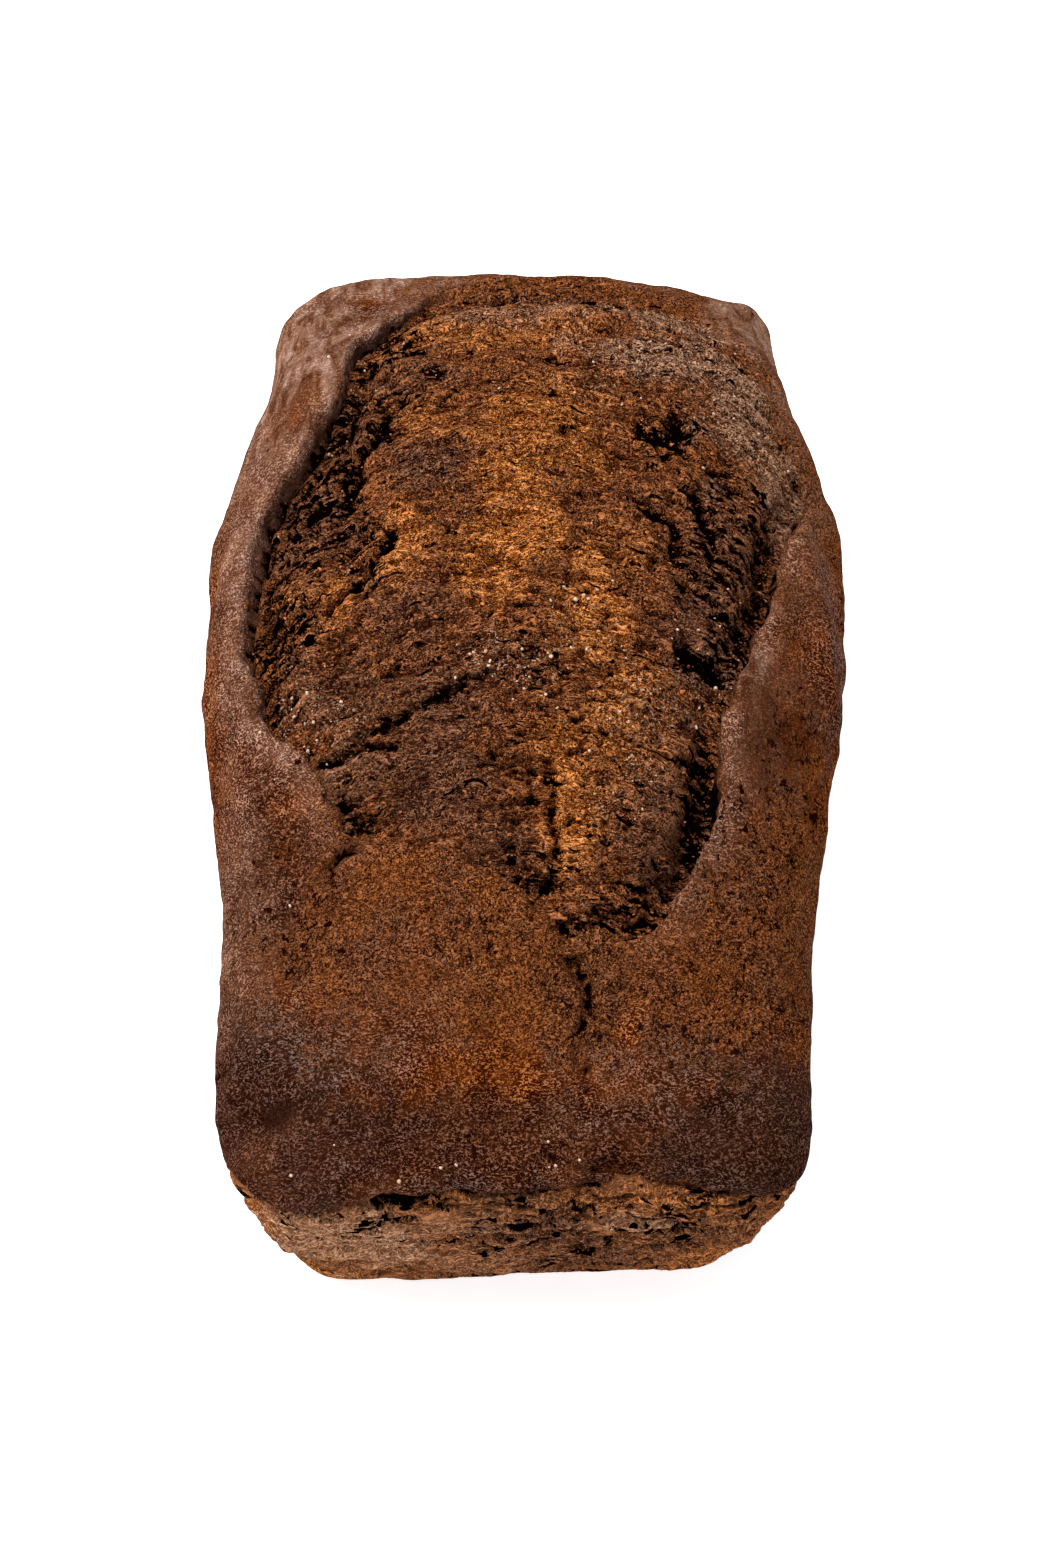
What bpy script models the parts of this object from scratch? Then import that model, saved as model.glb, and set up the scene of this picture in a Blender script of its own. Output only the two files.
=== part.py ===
"""Banana bread: one whole loaf, baked in a tapered tin, with a wide burst along its top.

Units are metres, +Z is up. The loaf stands on z = 0, its long side lies along Y, and its near end,
the one with the flaky face under a torn rim, looks towards -Y.

The body starts as a cube whose faces are cut into a grid. The grid is then shaped in three steps: the
tin gives the tapered box, the rise gives the dome and the batter that swelled over the tin's long
sides, and the relief gives the lips, crevices, fibres and flakes of the torn places.
"""

import bmesh
import bpy
import numpy as np
from mathutils import noise

MM = 0.001

# The tin
RIM_LENGTH = 225.5 * MM
RIM_WIDTH = 115.0 * MM
RIM_HEIGHT = 60.0 * MM
WALL_LEAN = 9.6 * MM  # how far each wall moves in between rim and base
TOP_EDGE_RADIUS = 12.4 * MM
BASE_EDGE_RADIUS = 4.0 * MM
CORNER_RADIUS = {  # of the rim seen from above: (side, end)
    (-1, -1): 22.0 * MM,
    (1, -1): 17.0 * MM,
    (-1, 1): 25.6 * MM,
    (1, 1): 9.0 * MM,
}
BASE_CORNER_SHARE = 0.95  # the base's corner radii, as a share of the rim's
MIDDLE_CORNER_SHARE = 0.70  # those halfway up
LEAN_BEND = 1.25  # the walls bulge a little: at 1 they lean evenly
NEAR_END_NARROWING = {-1: 1.3 * MM, 1: 0.5 * MM}  # how far each side moves in at the near end
FAR_END_NARROWING = {-1: 3.4 * MM, 1: 1.6 * MM}  # the same at the far end
BASE_SKEW = 3.2 * MM  # the near base edge lies a little askew

# The rise
DOME_HEIGHT = 21.0 * MM
DOME_NEAR_Y, DOME_NEAR_RUN = -110.0 * MM, 120.0 * MM
DOME_FAR_Y, DOME_FAR_RUN = 127.2 * MM, 80.0 * MM
DOME_HALF_WIDTH = 67.5 * MM
RIM_LIFT = 7.0 * MM  # how far the long rims rose with the dome
CROWN = 3.0 * MM  # slight crown over the whole top
LIFT_FROM_Z = 30.0 * MM
SWELL = {  # batter over the tin's long sides: width, near start, near run, far end, far run
    -1: (14.1 * MM, -62.0 * MM, 74.0 * MM, 77.2 * MM, 53.8 * MM),
    1: (18.1 * MM, -79.8 * MM, 88.1 * MM, 86.3 * MM, 55.6 * MM),
}
SWELL_LOW_Z, SWELL_HIGH_Z = 38.0 * MM, 66.0 * MM
CORNER_DROP = 8.0 * MM  # the far right corner rose least
CORNER_DROP_X, CORNER_DROP_Y = (8.0 * MM, 50.0 * MM), (66.0 * MM, 46.0 * MM)  # start and run

# The burst: its lip seen from above, counter-clockwise, as (x, y, depth of the crevice inside it), in mm
LIP = (
    (-12, 99, 0.5),
    (-27, 82, 2.5),
    (-35, 69, 4.0),
    (-39, 50, 5.0),
    (-48, 36, 5.5),
    (-54, 20, 5.0),
    (-54, -4, 4.0),
    (-49, -21, 3.0),
    (-38, -34, 2.0),
    (-32, -46, 1.5),
    (-14, -51, 0.5),
    (0, -57, 1.0),
    (8, -67, 0.9),
    (18, -66, 1.0),
    (29, -60, 2.2),
    (36, -47, 5.0),
    (39, -35, 5.0),
    (40, -22, 3.5),
    (46, -4, 3.5),
    (52, 12, 4.0),
    (56, 28, 4.0),
    (60, 40, 2.0),
    (56, 58, 0.8),
    (49, 77, 0.5),
    (37, 94, 0.4),
    (12, 103, 0.4),
)
LIP_STEPS = 6  # curve pieces between two points
CREVICE_WALL = 2.2 * MM  # width of the step from the lip down to the crevice's foot
CREVICE_WIDTH = 7.0 * MM
LIP_CURL = 0.32  # height of the curled crust edge, as a share of the crevice's depth
CURL_WIDTH = 6.0 * MM

# Cracks and holes in the top: points (x, y) in mm, then half width and depth in mm
CRACKS = {
    "left_slant": (((-38, 1), (-32, 5), (-26, 15)), 2.2, 4.0),
    "left_inner": (((-26, 50), (-32, 39), (-35, 26)), 2.4, 3.2),
    "middle_long": (((-30, -27), (-21, -23), (-10, -18)), 1.7, 2.6),
    "lump_back": (((-37, -32), (-30, -29), (-24, -30)), 2.2, 3.0),
    "hook": (((-30, -43), (-30, -48), (-36, -52)), 1.6, 2.8),
    "right_pocket": (((32, -8), (40, -11)), 3.0, 4.5),
    "right_slant": (((23, 24), (32, 19), (32, 14)), 2.2, 3.2),
    "right_holes": (((35, 29), (40, 17)), 2.4, 2.8),
    "back_hole": (((25, 46), (28, 42), (33, 44)), 2.4, 3.2),
    "arc": (((9, 11), (15, 13), (21, 9)), 1.8, 2.0),
    "far_hole": (((-6, 90), (0, 95)), 2.2, 2.8),
    "spine": (((6, -33), (8, -48), (6, -56)), 1.6, 2.0),
    "near_split": (((9, -63), (12, -71), (15, -78)), 1.9, 2.8),
    "split_tail": (((13, -79), (12, -86), (14, -92)), 1.7, 2.2),
    "rim_split": (((6, -103.5), (13, -105.2), (20, -107)), 1.8, 1.8),
    "side_pit": (((55, -43), (54, -47)), 1.8, 2.0),
}

# Smooth forms in the crust: centre (x, y), radii (x, y) and height, in mm; a hollow is below nought
SWELLINGS = {
    "near_left_bruise": ((-46, -97), (7, 6), -3.2),
    "near_left_cheek": ((-34, -84), (17, 14), 2.0),
    "near_right_cheek": ((26, -90), (24, 12), 1.6),
    "near_trough": ((-6, -101), (26, 7), -1.6),
    "lump": ((-31, -36), (8, 5), 2.6),
    "curled_lump": ((24, -44), (9, 7), 1.8),
    "smooth_boss": ((-14, 33), (11, 9), 1.8),
    "left_cheek": ((-44, 62), (7, 17), 1.5),
}
FOLD = (((55, 28), (58, 17), (60, 4), (60, -9)), 3.6, 2.4)  # ridge where the right side's crust folded

# The near end, where the crust's rim hangs over a torn face: height of the rim over x, in mm
RIM_LINE = (
    (-56, 49),
    (-45, 51.5),
    (-39, 51.5),
    (-33, 54.5),
    (-24, 56.2),
    (-14, 57.3),
    (-9, 58),
    (-2, 57),
    (6, 58.2),
    (14, 59),
    (22, 60.3),
    (28, 60),
    (34, 59.2),
    (40, 57.8),
    (46, 55.8),
    (56, 51),
)
RIM_RAGGEDNESS, RIM_RAG_SIZE = 1.3 * MM, 8.0 * MM
RIM_LIP, RIM_LIP_RISE, RIM_LIP_WIDTH = 1.3 * MM, 2.0 * MM, 3.0 * MM
RIM_CREVICE, RIM_CREVICE_DROP, RIM_CREVICE_WIDTH = 1.8 * MM, 2.2 * MM, 2.0 * MM
RIM_BLEND = 2.4 * MM
FACE_START, FACE_RUN = 16.0 * MM, 7.0 * MM  # how far from the end the torn face starts, and its fade
FLAKES, FLAKE_SIZE, FLAKE_CELL = 0.9 * MM, 4.2 * MM, 5.5 * MM
FLAKE_STRETCH = (0.25, 0.6, 1.0)  # the flakes lie flat, as layers along X
CALM_FOOT = 9.0 * MM  # the relief fades out over this height above the base

# Relief of the crumb and the crust: height, then size of its largest waves
CRUMB_LUMPS, LUMP_SIZE = 2.2 * MM, 17.0 * MM
FIBRE_RIDGES, FIBRE_PITCH = 1.5 * MM, 4.4 * MM
FIBRE_STRETCH = 3.4  # fibres are this many times longer than their pitch
FIBRE_ARC = 5.5  # bow of the fibres' lines, in 1/m
FIBRE_CENTRE_X = 2.0 * MM
PITS, PIT_PITCH = 2.2 * MM, 7.0 * MM
SEAM_SIZE, SEAM_WIDTH = 13.6 * MM, 0.35  # cells of the crumb, and the seams' width as a share of a cell
TORN_RUN = 3.0 * MM  # the crumb fades in over this width inside the lip
GAPE_WAVES = 12.0 * MM  # size of the waves in the crevice's depth
GAPE_UNEVENNESS, CRACK_UNEVENNESS = 0.35, 0.45
CRACK_RAG_SIZE = 4.0 * MM
CRUST_WAVES, WAVE_SIZE = 1.0 * MM, 34.0 * MM
WALL_WAVES, WALL_WAVE_SIZE = 0.8 * MM, 12.0 * MM
LIP_RAGGEDNESS, RAG_SIZE = 1.5 * MM, 9.0 * MM

# The grid on each face of the starting cube
CUTS_X, CUTS_Y, CUTS_Z = 47, 79, 6
EDGE_COLUMNS = 4  # columns of the grid in the round top edge
FAR_CROWDING = 0.10  # the rows lie closer towards the far end
LIP_PULL = 1.6 * MM  # reach from which the grid is drawn in to the burst's lip and the crevice's foot
TOP_FROM_Z, TOP_BLEND = 49.0 * MM, 5.0 * MM  # where the walls' surface gives way to the top's

CRUST_BROWN = (0.150, 0.052, 0.021)
CRUST_ROUGHNESS = 0.55


def smooth(t):
    """0 below nought, 1 above one, and an even S between."""
    t = np.clip(t, 0.0, 1.0)
    return t * t * (3.0 - 2.0 * t)


def noise_at(points, size, seed, octaves=3):
    """Fractal noise of about -1 to 1 at each point, whose largest waves are about size long."""
    places = points / size + np.array((seed * 3.7, seed * 1.9, seed * 5.3))
    return np.array([noise.fractal(place, 1.0, 2.0, octaves) for place in places.tolist()])


def cracked_noise_at(points, size, seed):
    """1 in the narrow seams between cells of about that size, falling to 0 inside them."""
    places = points / size + np.array((seed * 2.3, seed * 4.1, seed * 1.7))
    gaps = np.empty(len(points))
    for i, place in enumerate(places.tolist()):
        near, second = noise.voronoi(place)[0][:2]
        gaps[i] = second - near
    return 1.0 - smooth(gaps / SEAM_WIDTH)


def curve_through(points, closed, steps):
    """Points on a Catmull-Rom curve through the given ones, with steps pieces to each span."""
    points = np.array(points, float)
    count = len(points)
    spans = count if closed else count - 1
    out = []
    for i in range(spans):
        near = [(i + k) % count if closed else min(max(i + k, 0), count - 1) for k in (-1, 0, 1, 2)]
        a, b, c, d = points[near]
        bend, twist = 2 * a - 5 * b + 4 * c - d, 3 * b - a - 3 * c + d
        for t in np.arange(steps) / steps:
            out.append(0.5 * (2 * b + (c - a) * t + bend * t**2 + twist * t**3))
    if not closed:
        out.append(points[-1])
    return np.array(out)


def nearest_on_line(x, y, line, closed=False):
    """Distance from each (x, y) to a line of points, and the line's further columns at the nearest place."""
    ends = np.roll(line, -1, axis=0) if closed else line[1:]
    starts = line if closed else line[:-1]
    best = np.full(len(x), np.inf)
    extra = np.zeros((len(x), line.shape[1] - 2))
    for a, b in zip(starts, ends, strict=True):
        run = b[:2] - a[:2]
        share = np.clip(((x - a[0]) * run[0] + (y - a[1]) * run[1]) / max(run @ run, 1e-12), 0.0, 1.0)
        gap = np.hypot(x - a[0] - share * run[0], y - a[1] - share * run[1])
        closer = gap < best
        best = np.where(closer, gap, best)
        extra[closer] = a[2:] + share[closer, None] * (b[2:] - a[2:])
    return best, extra


def is_inside(x, y, outline):
    """Whether each (x, y) lies inside a closed outline."""
    inside = np.zeros(len(x), bool)
    for a, b in zip(outline, np.roll(outline, -1, axis=0), strict=True):
        spans = (a[1] > y) != (b[1] > y)
        rise = b[1] - a[1] if b[1] != a[1] else 1e-12
        inside ^= spans & (x < (b[0] - a[0]) * (y - a[1]) / rise + a[0])
    return inside


def spread(t, half, cuts):
    """Places the grid's t, -1 to 1, over a half width so that the round edge gets even steps of angle."""
    share = 2.0 * EDGE_COLUMNS / (cuts + 1)
    flat = np.abs(t) / (1.0 - share) * (half - TOP_EDGE_RADIUS)
    angle = (np.abs(t) - (1.0 - share)) / share * np.pi / 2
    arc = half - TOP_EDGE_RADIUS + TOP_EDGE_RADIUS * np.sin(np.clip(angle, 0.0, np.pi / 2))
    return np.sign(t) * np.where(np.abs(t) < 1.0 - share, flat, arc)


def plan_of(x, y, height):
    """Rounds the rectangle's corners, most at height 1. Also gives each point's inset from the rim."""
    half_x, half_y = RIM_WIDTH / 2, RIM_LENGTH / 2
    sides, ends = np.where(x < 0, -1.0, 1.0), np.where(y < 0, -1.0, 1.0)
    radius = np.zeros(len(x))
    for (side, end), value in CORNER_RADIUS.items():
        radius[(sides == side) & (ends == end)] = value
    radius = radius * np.interp(height, (0.0, 0.5, 1.0), (BASE_CORNER_SHARE, MIDDLE_CORNER_SHARE, 1.0))
    x, y = np.abs(x), np.abs(y)
    over_x, over_y = x - (half_x - radius), y - (half_y - radius)
    corner = (over_x > 0) & (over_y > 0)
    pull = np.maximum(over_x, over_y) / np.maximum(np.hypot(over_x, over_y), 1e-12)
    x = np.where(corner, half_x - radius + over_x * pull, x)
    y = np.where(corner, half_y - radius + over_y * pull, y)
    inset = np.where(
        corner, radius - np.hypot(over_x * pull, over_y * pull), np.minimum(half_x - x, half_y - y)
    )
    return sides * x, ends * y, inset


def tin_form(x, y, w, on_top):
    """The box that the tin gives: a tapered body with round corners and a round top edge."""
    wall_top = RIM_HEIGHT - TOP_EDGE_RADIUS
    wall_z = wall_top * (1.0 + np.sin(np.pi / 2 * w)) / 2
    x, y, inset = plan_of(x, y, wall_z / wall_top)
    drop = TOP_EDGE_RADIUS - np.clip(inset, 0.0, TOP_EDGE_RADIUS)
    z = np.where(on_top, wall_top + np.sqrt(TOP_EDGE_RADIUS**2 - drop**2), wall_z)
    foot = BASE_EDGE_RADIUS - np.clip(z, 0.0, BASE_EDGE_RADIUS)
    foot_inset = BASE_EDGE_RADIUS - np.sqrt(BASE_EDGE_RADIUS**2 - foot**2)
    up = np.clip(z / (RIM_HEIGHT - 0.4 * TOP_EDGE_RADIUS), 0.0, 1.0)
    lean = WALL_LEAN * (1.0 - up) ** LEAN_BEND + foot_inset
    x = x * (1.0 - lean / (RIM_WIDTH / 2))
    y = y * (1.0 - lean / (RIM_LENGTH / 2))
    end_share = y / (RIM_LENGTH / 2)
    narrowing = np.where(x < 0, FAR_END_NARROWING[-1], FAR_END_NARROWING[1]) * smooth((end_share - 0.3) / 0.7)
    near_narrowing = np.where(x < 0, NEAR_END_NARROWING[-1], NEAR_END_NARROWING[1])
    narrowing = narrowing + near_narrowing * smooth((-end_share - 0.5) / 0.4)
    return x * (1.0 - narrowing / (RIM_WIDTH / 2)), y, z


def rise_form(x, y, z):
    """Lets the tin's box rise: the long sides swell over the rim and the top domes."""
    side_share = np.clip(np.abs(x) / (RIM_WIDTH / 2), 0.0, 1.0)
    high = smooth((z - SWELL_LOW_Z) / (SWELL_HIGH_Z - SWELL_LOW_Z))
    for side, (width, near_y, near_run, far_y, far_run) in SWELL.items():
        along = smooth((y - near_y) / near_run) * smooth((far_y - y) / far_run)
        x = np.where(np.sign(x) == side, x + side * width * along * high * side_share**2, x)
    along = smooth((y - DOME_NEAR_Y) / DOME_NEAR_RUN) * smooth((DOME_FAR_Y - y) / DOME_FAR_RUN)
    across = np.clip(np.abs(x) / DOME_HALF_WIDTH, 0.0, 1.0)
    end_share = np.clip(np.abs(y) / (RIM_LENGTH / 2), 0.0, 1.0)
    dome = DOME_HEIGHT * along * (1.0 - across**2.4) ** 0.9 + CROWN * (1.0 - across**2) * (1.0 - end_share**4)
    lift = np.clip((z - LIFT_FROM_Z) / (RIM_HEIGHT - LIFT_FROM_Z), 0.0, 1.0)
    (drop_x, run_x), (drop_y, run_y) = CORNER_DROP_X, CORNER_DROP_Y
    dome = dome - CORNER_DROP * smooth((x - drop_x) / run_x) * smooth((y - drop_y) / run_y)
    y = y + BASE_SKEW * x / (RIM_WIDTH / 2) * np.clip(1.0 - z / RIM_HEIGHT, 0.0, 1.0) * (y < 0)
    z = z + lift * (dome + RIM_LIFT * along * smooth((z - LIFT_FROM_Z) / LIFT_FROM_Z))
    return x, y, z


def loaf_form(x, y, w, on_top):
    """Points on the risen loaf, and how far each belongs to the top: 0 on the walls, 1 on the top."""
    x, y, z = tin_form(x, y, w, on_top)
    return np.stack(rise_form(x, y, z), axis=1), smooth((z - TOP_FROM_Z) / TOP_BLEND)


def lip_depth(points):
    """How far inside the burst's ragged lip each point lies, and how deep the crevice is there."""
    lip = curve_through(LIP, True, LIP_STEPS) * MM
    gap, gape = nearest_on_line(points[:, 0], points[:, 1], lip, closed=True)
    depth = np.where(is_inside(points[:, 0], points[:, 1], lip), gap, -gap)
    return depth + LIP_RAGGEDNESS * noise_at(points, RAG_SIZE, 1), gape[:, 0]


def drawn_to_lip(x, y, w, on_top):
    """Moves the top's grid points near the burst's lip towards it, so that its step is cleanly cut."""
    step = 0.2 * MM
    here = lip_depth(loaf_form(x, y, w, on_top)[0])[0]
    slope_x = (lip_depth(loaf_form(x + step, y, w, on_top)[0])[0] - here) / step
    slope_y = (lip_depth(loaf_form(x, y + step, w, on_top)[0])[0] - here) / step
    past = np.where(here < CREVICE_WALL / 2, here, here - CREVICE_WALL)
    pull = past * (smooth(np.abs(past) / LIP_PULL) - 1.0) * on_top
    steepness = np.maximum(slope_x**2 + slope_y**2, 0.25)
    return x + pull * slope_x / steepness, y + pull * slope_y / steepness


def fibre_places(points):
    """Coordinates in which the crumb's fibres, bowed towards the far end, are as wide as they are long."""
    x = points[:, 0] - FIBRE_CENTRE_X
    bowed = points[:, 1] + FIBRE_ARC * x**2
    return np.stack((x / FIBRE_STRETCH, bowed, points[:, 2] * 0.5), axis=1)


def crumb_relief(points):
    """Height of the torn crumb: lumps, bowed fibres and pits."""
    places = fibre_places(points)
    height = CRUMB_LUMPS * noise_at(points, LUMP_SIZE, 2, 2)
    height = height + FIBRE_RIDGES * noise_at(places, FIBRE_PITCH, 3, 2)
    pits = smooth((noise_at(places, PIT_PITCH, 4, 2) - 0.18) / 0.30)
    seams = cracked_noise_at(places, SEAM_SIZE, 5)
    return height - PITS * pits - 0.5 * PITS * seams


def crack_relief(points):
    """Depth of the named cracks and holes in the top."""
    ragged = 1.0 + CRACK_UNEVENNESS * noise_at(points, CRACK_RAG_SIZE, 6, 2)
    depth = np.zeros(len(points))
    for line, half_width, deep in CRACKS.values():
        gap, _ = nearest_on_line(points[:, 0], points[:, 1], np.array(line, float) * MM)
        depth = np.maximum(depth, deep * MM * (1.0 - smooth(gap / (half_width * MM * 1.5) * ragged)))
    return depth


def swelling_relief(points):
    """Height of the smooth bosses, cheeks and hollows of the crust, and of the fold on the right."""
    height = np.zeros(len(points))
    for (x, y), (radius_x, radius_y), rise in SWELLINGS.values():
        far = np.hypot((points[:, 0] / MM - x) / radius_x, (points[:, 1] / MM - y) / radius_y)
        height = height + rise * MM * (1.0 - smooth(far / 1.6))
    line, half_width, rise = FOLD
    gap, _ = nearest_on_line(points[:, 0], points[:, 1], np.array(line, float) * MM)
    return height + rise * MM * (1.0 - smooth(gap / (half_width * MM * 1.4)))


def near_face_relief(points):
    """The torn rim's lip over the near end, the crevice under it and the flaky layers below."""
    line = np.array(RIM_LINE, float) * MM
    rim_z = np.interp(points[:, 0], line[:, 0], line[:, 1])
    above = points[:, 2] - rim_z - RIM_RAGGEDNESS * noise_at(points, RIM_RAG_SIZE, 7, 2)
    at_end = smooth((FACE_START - RIM_LENGTH / 2 - points[:, 1]) / FACE_RUN)
    layers = points * np.array(FLAKE_STRETCH)
    flakes = FLAKES * (noise_at(layers, FLAKE_SIZE, 8) - cracked_noise_at(layers, FLAKE_CELL, 9))
    flaky = smooth(points[:, 2] / CALM_FOOT) * (1.0 - smooth(above / RIM_BLEND + 0.5))
    lip = RIM_LIP * np.exp(-(((above - RIM_LIP_RISE) / RIM_LIP_WIDTH) ** 2))
    crevice = RIM_CREVICE * np.exp(-(((above + RIM_CREVICE_DROP) / RIM_CREVICE_WIDTH) ** 2))
    return at_end * (lip - crevice + flaky * flakes)


def crust_relief(points):
    """The crust's long waves and the slight unevenness of the baked walls."""
    waves = CRUST_WAVES * noise_at(points, WAVE_SIZE, 10, 2)
    return smooth(points[:, 2] / CALM_FOOT) * (waves + WALL_WAVES * noise_at(points, WALL_WAVE_SIZE, 11))


def relief(points, top):
    """Total height of the relief above the risen form."""
    depth, gape = lip_depth(points)
    gape = gape * (1.0 + GAPE_UNEVENNESS * noise_at(points, GAPE_WAVES, 12, 2))
    torn = top * smooth(depth / TORN_RUN)
    crevice = smooth(depth / CREVICE_WALL) * (1.0 - smooth((depth - CREVICE_WALL) / CREVICE_WIDTH))
    curl = np.exp(-((np.minimum(depth, 0.0) / CURL_WIDTH) ** 2)) * (1.0 - smooth(depth / CREVICE_WALL))
    height = torn * crumb_relief(points) + (1.0 - torn) * crust_relief(points)
    edge = gape * (LIP_CURL * curl - crevice)
    return height + top * (edge + swelling_relief(points) - crack_relief(points)) + near_face_relief(points)


def gridded_cube():
    """A cube from -1 to 1 with each face cut into an even grid of quads."""
    shape = bmesh.new()
    bmesh.ops.create_cube(shape, size=2.0)
    for axis, cuts in enumerate((CUTS_X, CUTS_Y, CUTS_Z)):
        along = [e for e in shape.edges if abs(abs(e.verts[0].co[axis] - e.verts[1].co[axis]) - 2.0) < 1e-6]
        bmesh.ops.subdivide_edges(shape, edges=along, cuts=cuts, use_grid_fill=True)
    return shape


def flatten_base(shape):
    """Replaces the grid under the loaf by one flat face."""
    under = [f for f in shape.faces if all(v.co.z < -1.0 + 1e-6 for v in f.verts)]
    bmesh.ops.dissolve_faces(shape, faces=under, use_verts=True)


def shape_loaf(shape):
    """Moves the gridded cube's points to the loaf's surface."""
    u, v, w = np.array([vertex.co for vertex in shape.verts]).T
    on_top = w > 1.0 - 1e-6
    x = spread(u, RIM_WIDTH / 2, CUTS_X)
    y = spread(v + FAR_CROWDING * (1.0 - v**2), RIM_LENGTH / 2, CUTS_Y)
    x, y = drawn_to_lip(x, y, w, on_top)
    points, top = loaf_form(x, y, w, on_top)
    place_vertices(shape, points)
    shape.normal_update()
    normals = np.array([vertex.normal for vertex in shape.verts])
    points = points + normals * relief(points, top)[:, None]
    points[:, 2] = np.where(w < -1.0 + 1e-6, 0.0, points[:, 2])
    place_vertices(shape, points)


def place_vertices(shape, points):
    """Puts each vertex at its point."""
    for vertex, place in zip(shape.verts, points, strict=True):
        vertex.co = place


def crust_material():
    """Baked brown crust."""
    material = bpy.data.materials.new("baked_crust")
    material.use_nodes = True
    shader = material.node_tree.nodes["Principled BSDF"]
    shader.inputs["Base Color"].default_value = (*CRUST_BROWN, 1.0)
    shader.inputs["Roughness"].default_value = CRUST_ROUGHNESS
    shader.inputs["Metallic"].default_value = 0.0
    return material


def build_loaf(collection):
    """The loaf, as one closed body."""
    shape = gridded_cube()
    flatten_base(shape)
    shape_loaf(shape)
    bmesh.ops.triangulate(shape, faces=shape.faces[:])
    bmesh.ops.recalc_face_normals(shape, faces=shape.faces[:])
    mesh = bpy.data.meshes.new("loaf")
    shape.to_mesh(mesh)
    shape.free()
    mesh.shade_smooth()
    mesh.materials.append(crust_material())
    loaf = bpy.data.objects.new("loaf", mesh)
    collection.objects.link(loaf)
    return loaf


def main():
    for old in list(bpy.data.objects):
        bpy.data.objects.remove(old)
    collection = bpy.data.collections.new("banana_bread")
    bpy.context.scene.collection.children.link(collection)
    build_loaf(collection)


main()
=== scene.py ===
"""Looks of one whole banana bread loaf, laid out as an add-on and run as a script.

The loaf's form is worked out in the order in which a loaf bakes. The tin gives a tapered box. The rise
gives the dome, and the sides that swelled over the tin. The tears give the burst along the top and the
flaky near end. The crust is one closed mesh with hollows under its torn lips. The open crumb in each tear
is a closed plug that fills the hollow. Sugar grains and loose crumbs lie on both.
"""

import math
import random

import bpy
import numpy as np
from bpy.props import FloatProperty, FloatVectorProperty, IntProperty, PointerProperty
from mathutils import Euler, Matrix, Vector, noise
from mathutils.bvhtree import BVHTree


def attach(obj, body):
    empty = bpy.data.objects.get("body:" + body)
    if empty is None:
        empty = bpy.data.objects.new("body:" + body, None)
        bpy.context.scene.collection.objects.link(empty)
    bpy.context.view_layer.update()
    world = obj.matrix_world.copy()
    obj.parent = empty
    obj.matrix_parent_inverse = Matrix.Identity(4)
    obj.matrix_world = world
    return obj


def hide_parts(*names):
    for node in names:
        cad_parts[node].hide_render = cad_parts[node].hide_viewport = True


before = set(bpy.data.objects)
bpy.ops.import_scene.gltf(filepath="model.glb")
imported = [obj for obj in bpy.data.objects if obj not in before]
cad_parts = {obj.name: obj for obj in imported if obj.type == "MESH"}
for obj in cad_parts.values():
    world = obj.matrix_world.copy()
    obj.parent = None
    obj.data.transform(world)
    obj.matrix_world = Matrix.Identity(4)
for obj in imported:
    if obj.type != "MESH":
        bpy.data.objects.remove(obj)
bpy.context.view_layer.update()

bl_info = {
    "name": "Banana Bread Loaf",
    "version": (1, 0, 0),
    "blender": (4, 5, 0),
    "location": "3D View > Sidebar > Loaf",
    "description": "Models a tin-baked banana bread with a torn top, its sugar and crumbs, and a studio",
    "category": "Object",
}

MM = 0.001
NODE, BODY = "loaf", "root"
COARSENESS = 1.0

# How far a seed moves the noise and the cells along x, y and z, in waves and in cells
SEED_SHIFT, CELL_SHIFT = np.array((3.7, 1.9, 5.3)), np.array((2.3, 4.1, 1.7))

# The tin, and how it narrows at its ends, by side
TOP_EDGE_RADIUS = 12.4 * MM
BASE_EDGE_RADIUS = 4.0 * MM
CORNER_RADIUS = {(-1, -1): 22.0 * MM, (1, -1): 17.0 * MM, (-1, 1): 25.6 * MM, (1, 1): 9.0 * MM}
BASE_CORNER_SHARE, MIDDLE_CORNER_SHARE = 0.95, 0.70
LEAN_BEND, LEAN_TOP = 1.25, 0.4
NEAR_END_NARROWING = {-1: 1.3 * MM, 1: 0.5 * MM}
FAR_END_NARROWING = {-1: 3.4 * MM, 1: 1.6 * MM}
NEAR_END_START, NEAR_END_RUN = 0.5, 0.4
FAR_END_START, FAR_END_RUN = 0.3, 0.7
BASE_SKEW = 3.2 * MM

# The rise: the dome, the walls that lift with it, the low far right corner and where the top starts
DOME_NEAR_Y, DOME_NEAR_RUN = -110.0 * MM, 120.0 * MM
DOME_FAR_Y, DOME_FAR_RUN = 127.2 * MM, 80.0 * MM
DOME_HALF_WIDTH = 67.5 * MM
DOME_SHOULDER, DOME_FULLNESS = 2.4, 0.9
RIM_LIFT = 7.0 * MM
CROWN = 3.0 * MM
LIFT_FROM_Z = 30.0 * MM
CORNER_DROP = 8.0 * MM
CORNER_DROP_X, CORNER_DROP_Y = (8.0 * MM, 50.0 * MM), (66.0 * MM, 46.0 * MM)
TOP_FROM_Z, TOP_BLEND = 49.0 * MM, 5.0 * MM
# The swelling over each long side: width, then start and run from the near end, and the same from the far end
SWELL = {
    -1: (14.1 * MM, -62.0 * MM, 74.0 * MM, 77.2 * MM, 53.8 * MM),
    1: (18.1 * MM, -79.8 * MM, 88.1 * MM, 86.3 * MM, 55.6 * MM),
}
SWELL_LOW_Z, SWELL_HIGH_Z = 38.0 * MM, 66.0 * MM

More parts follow.
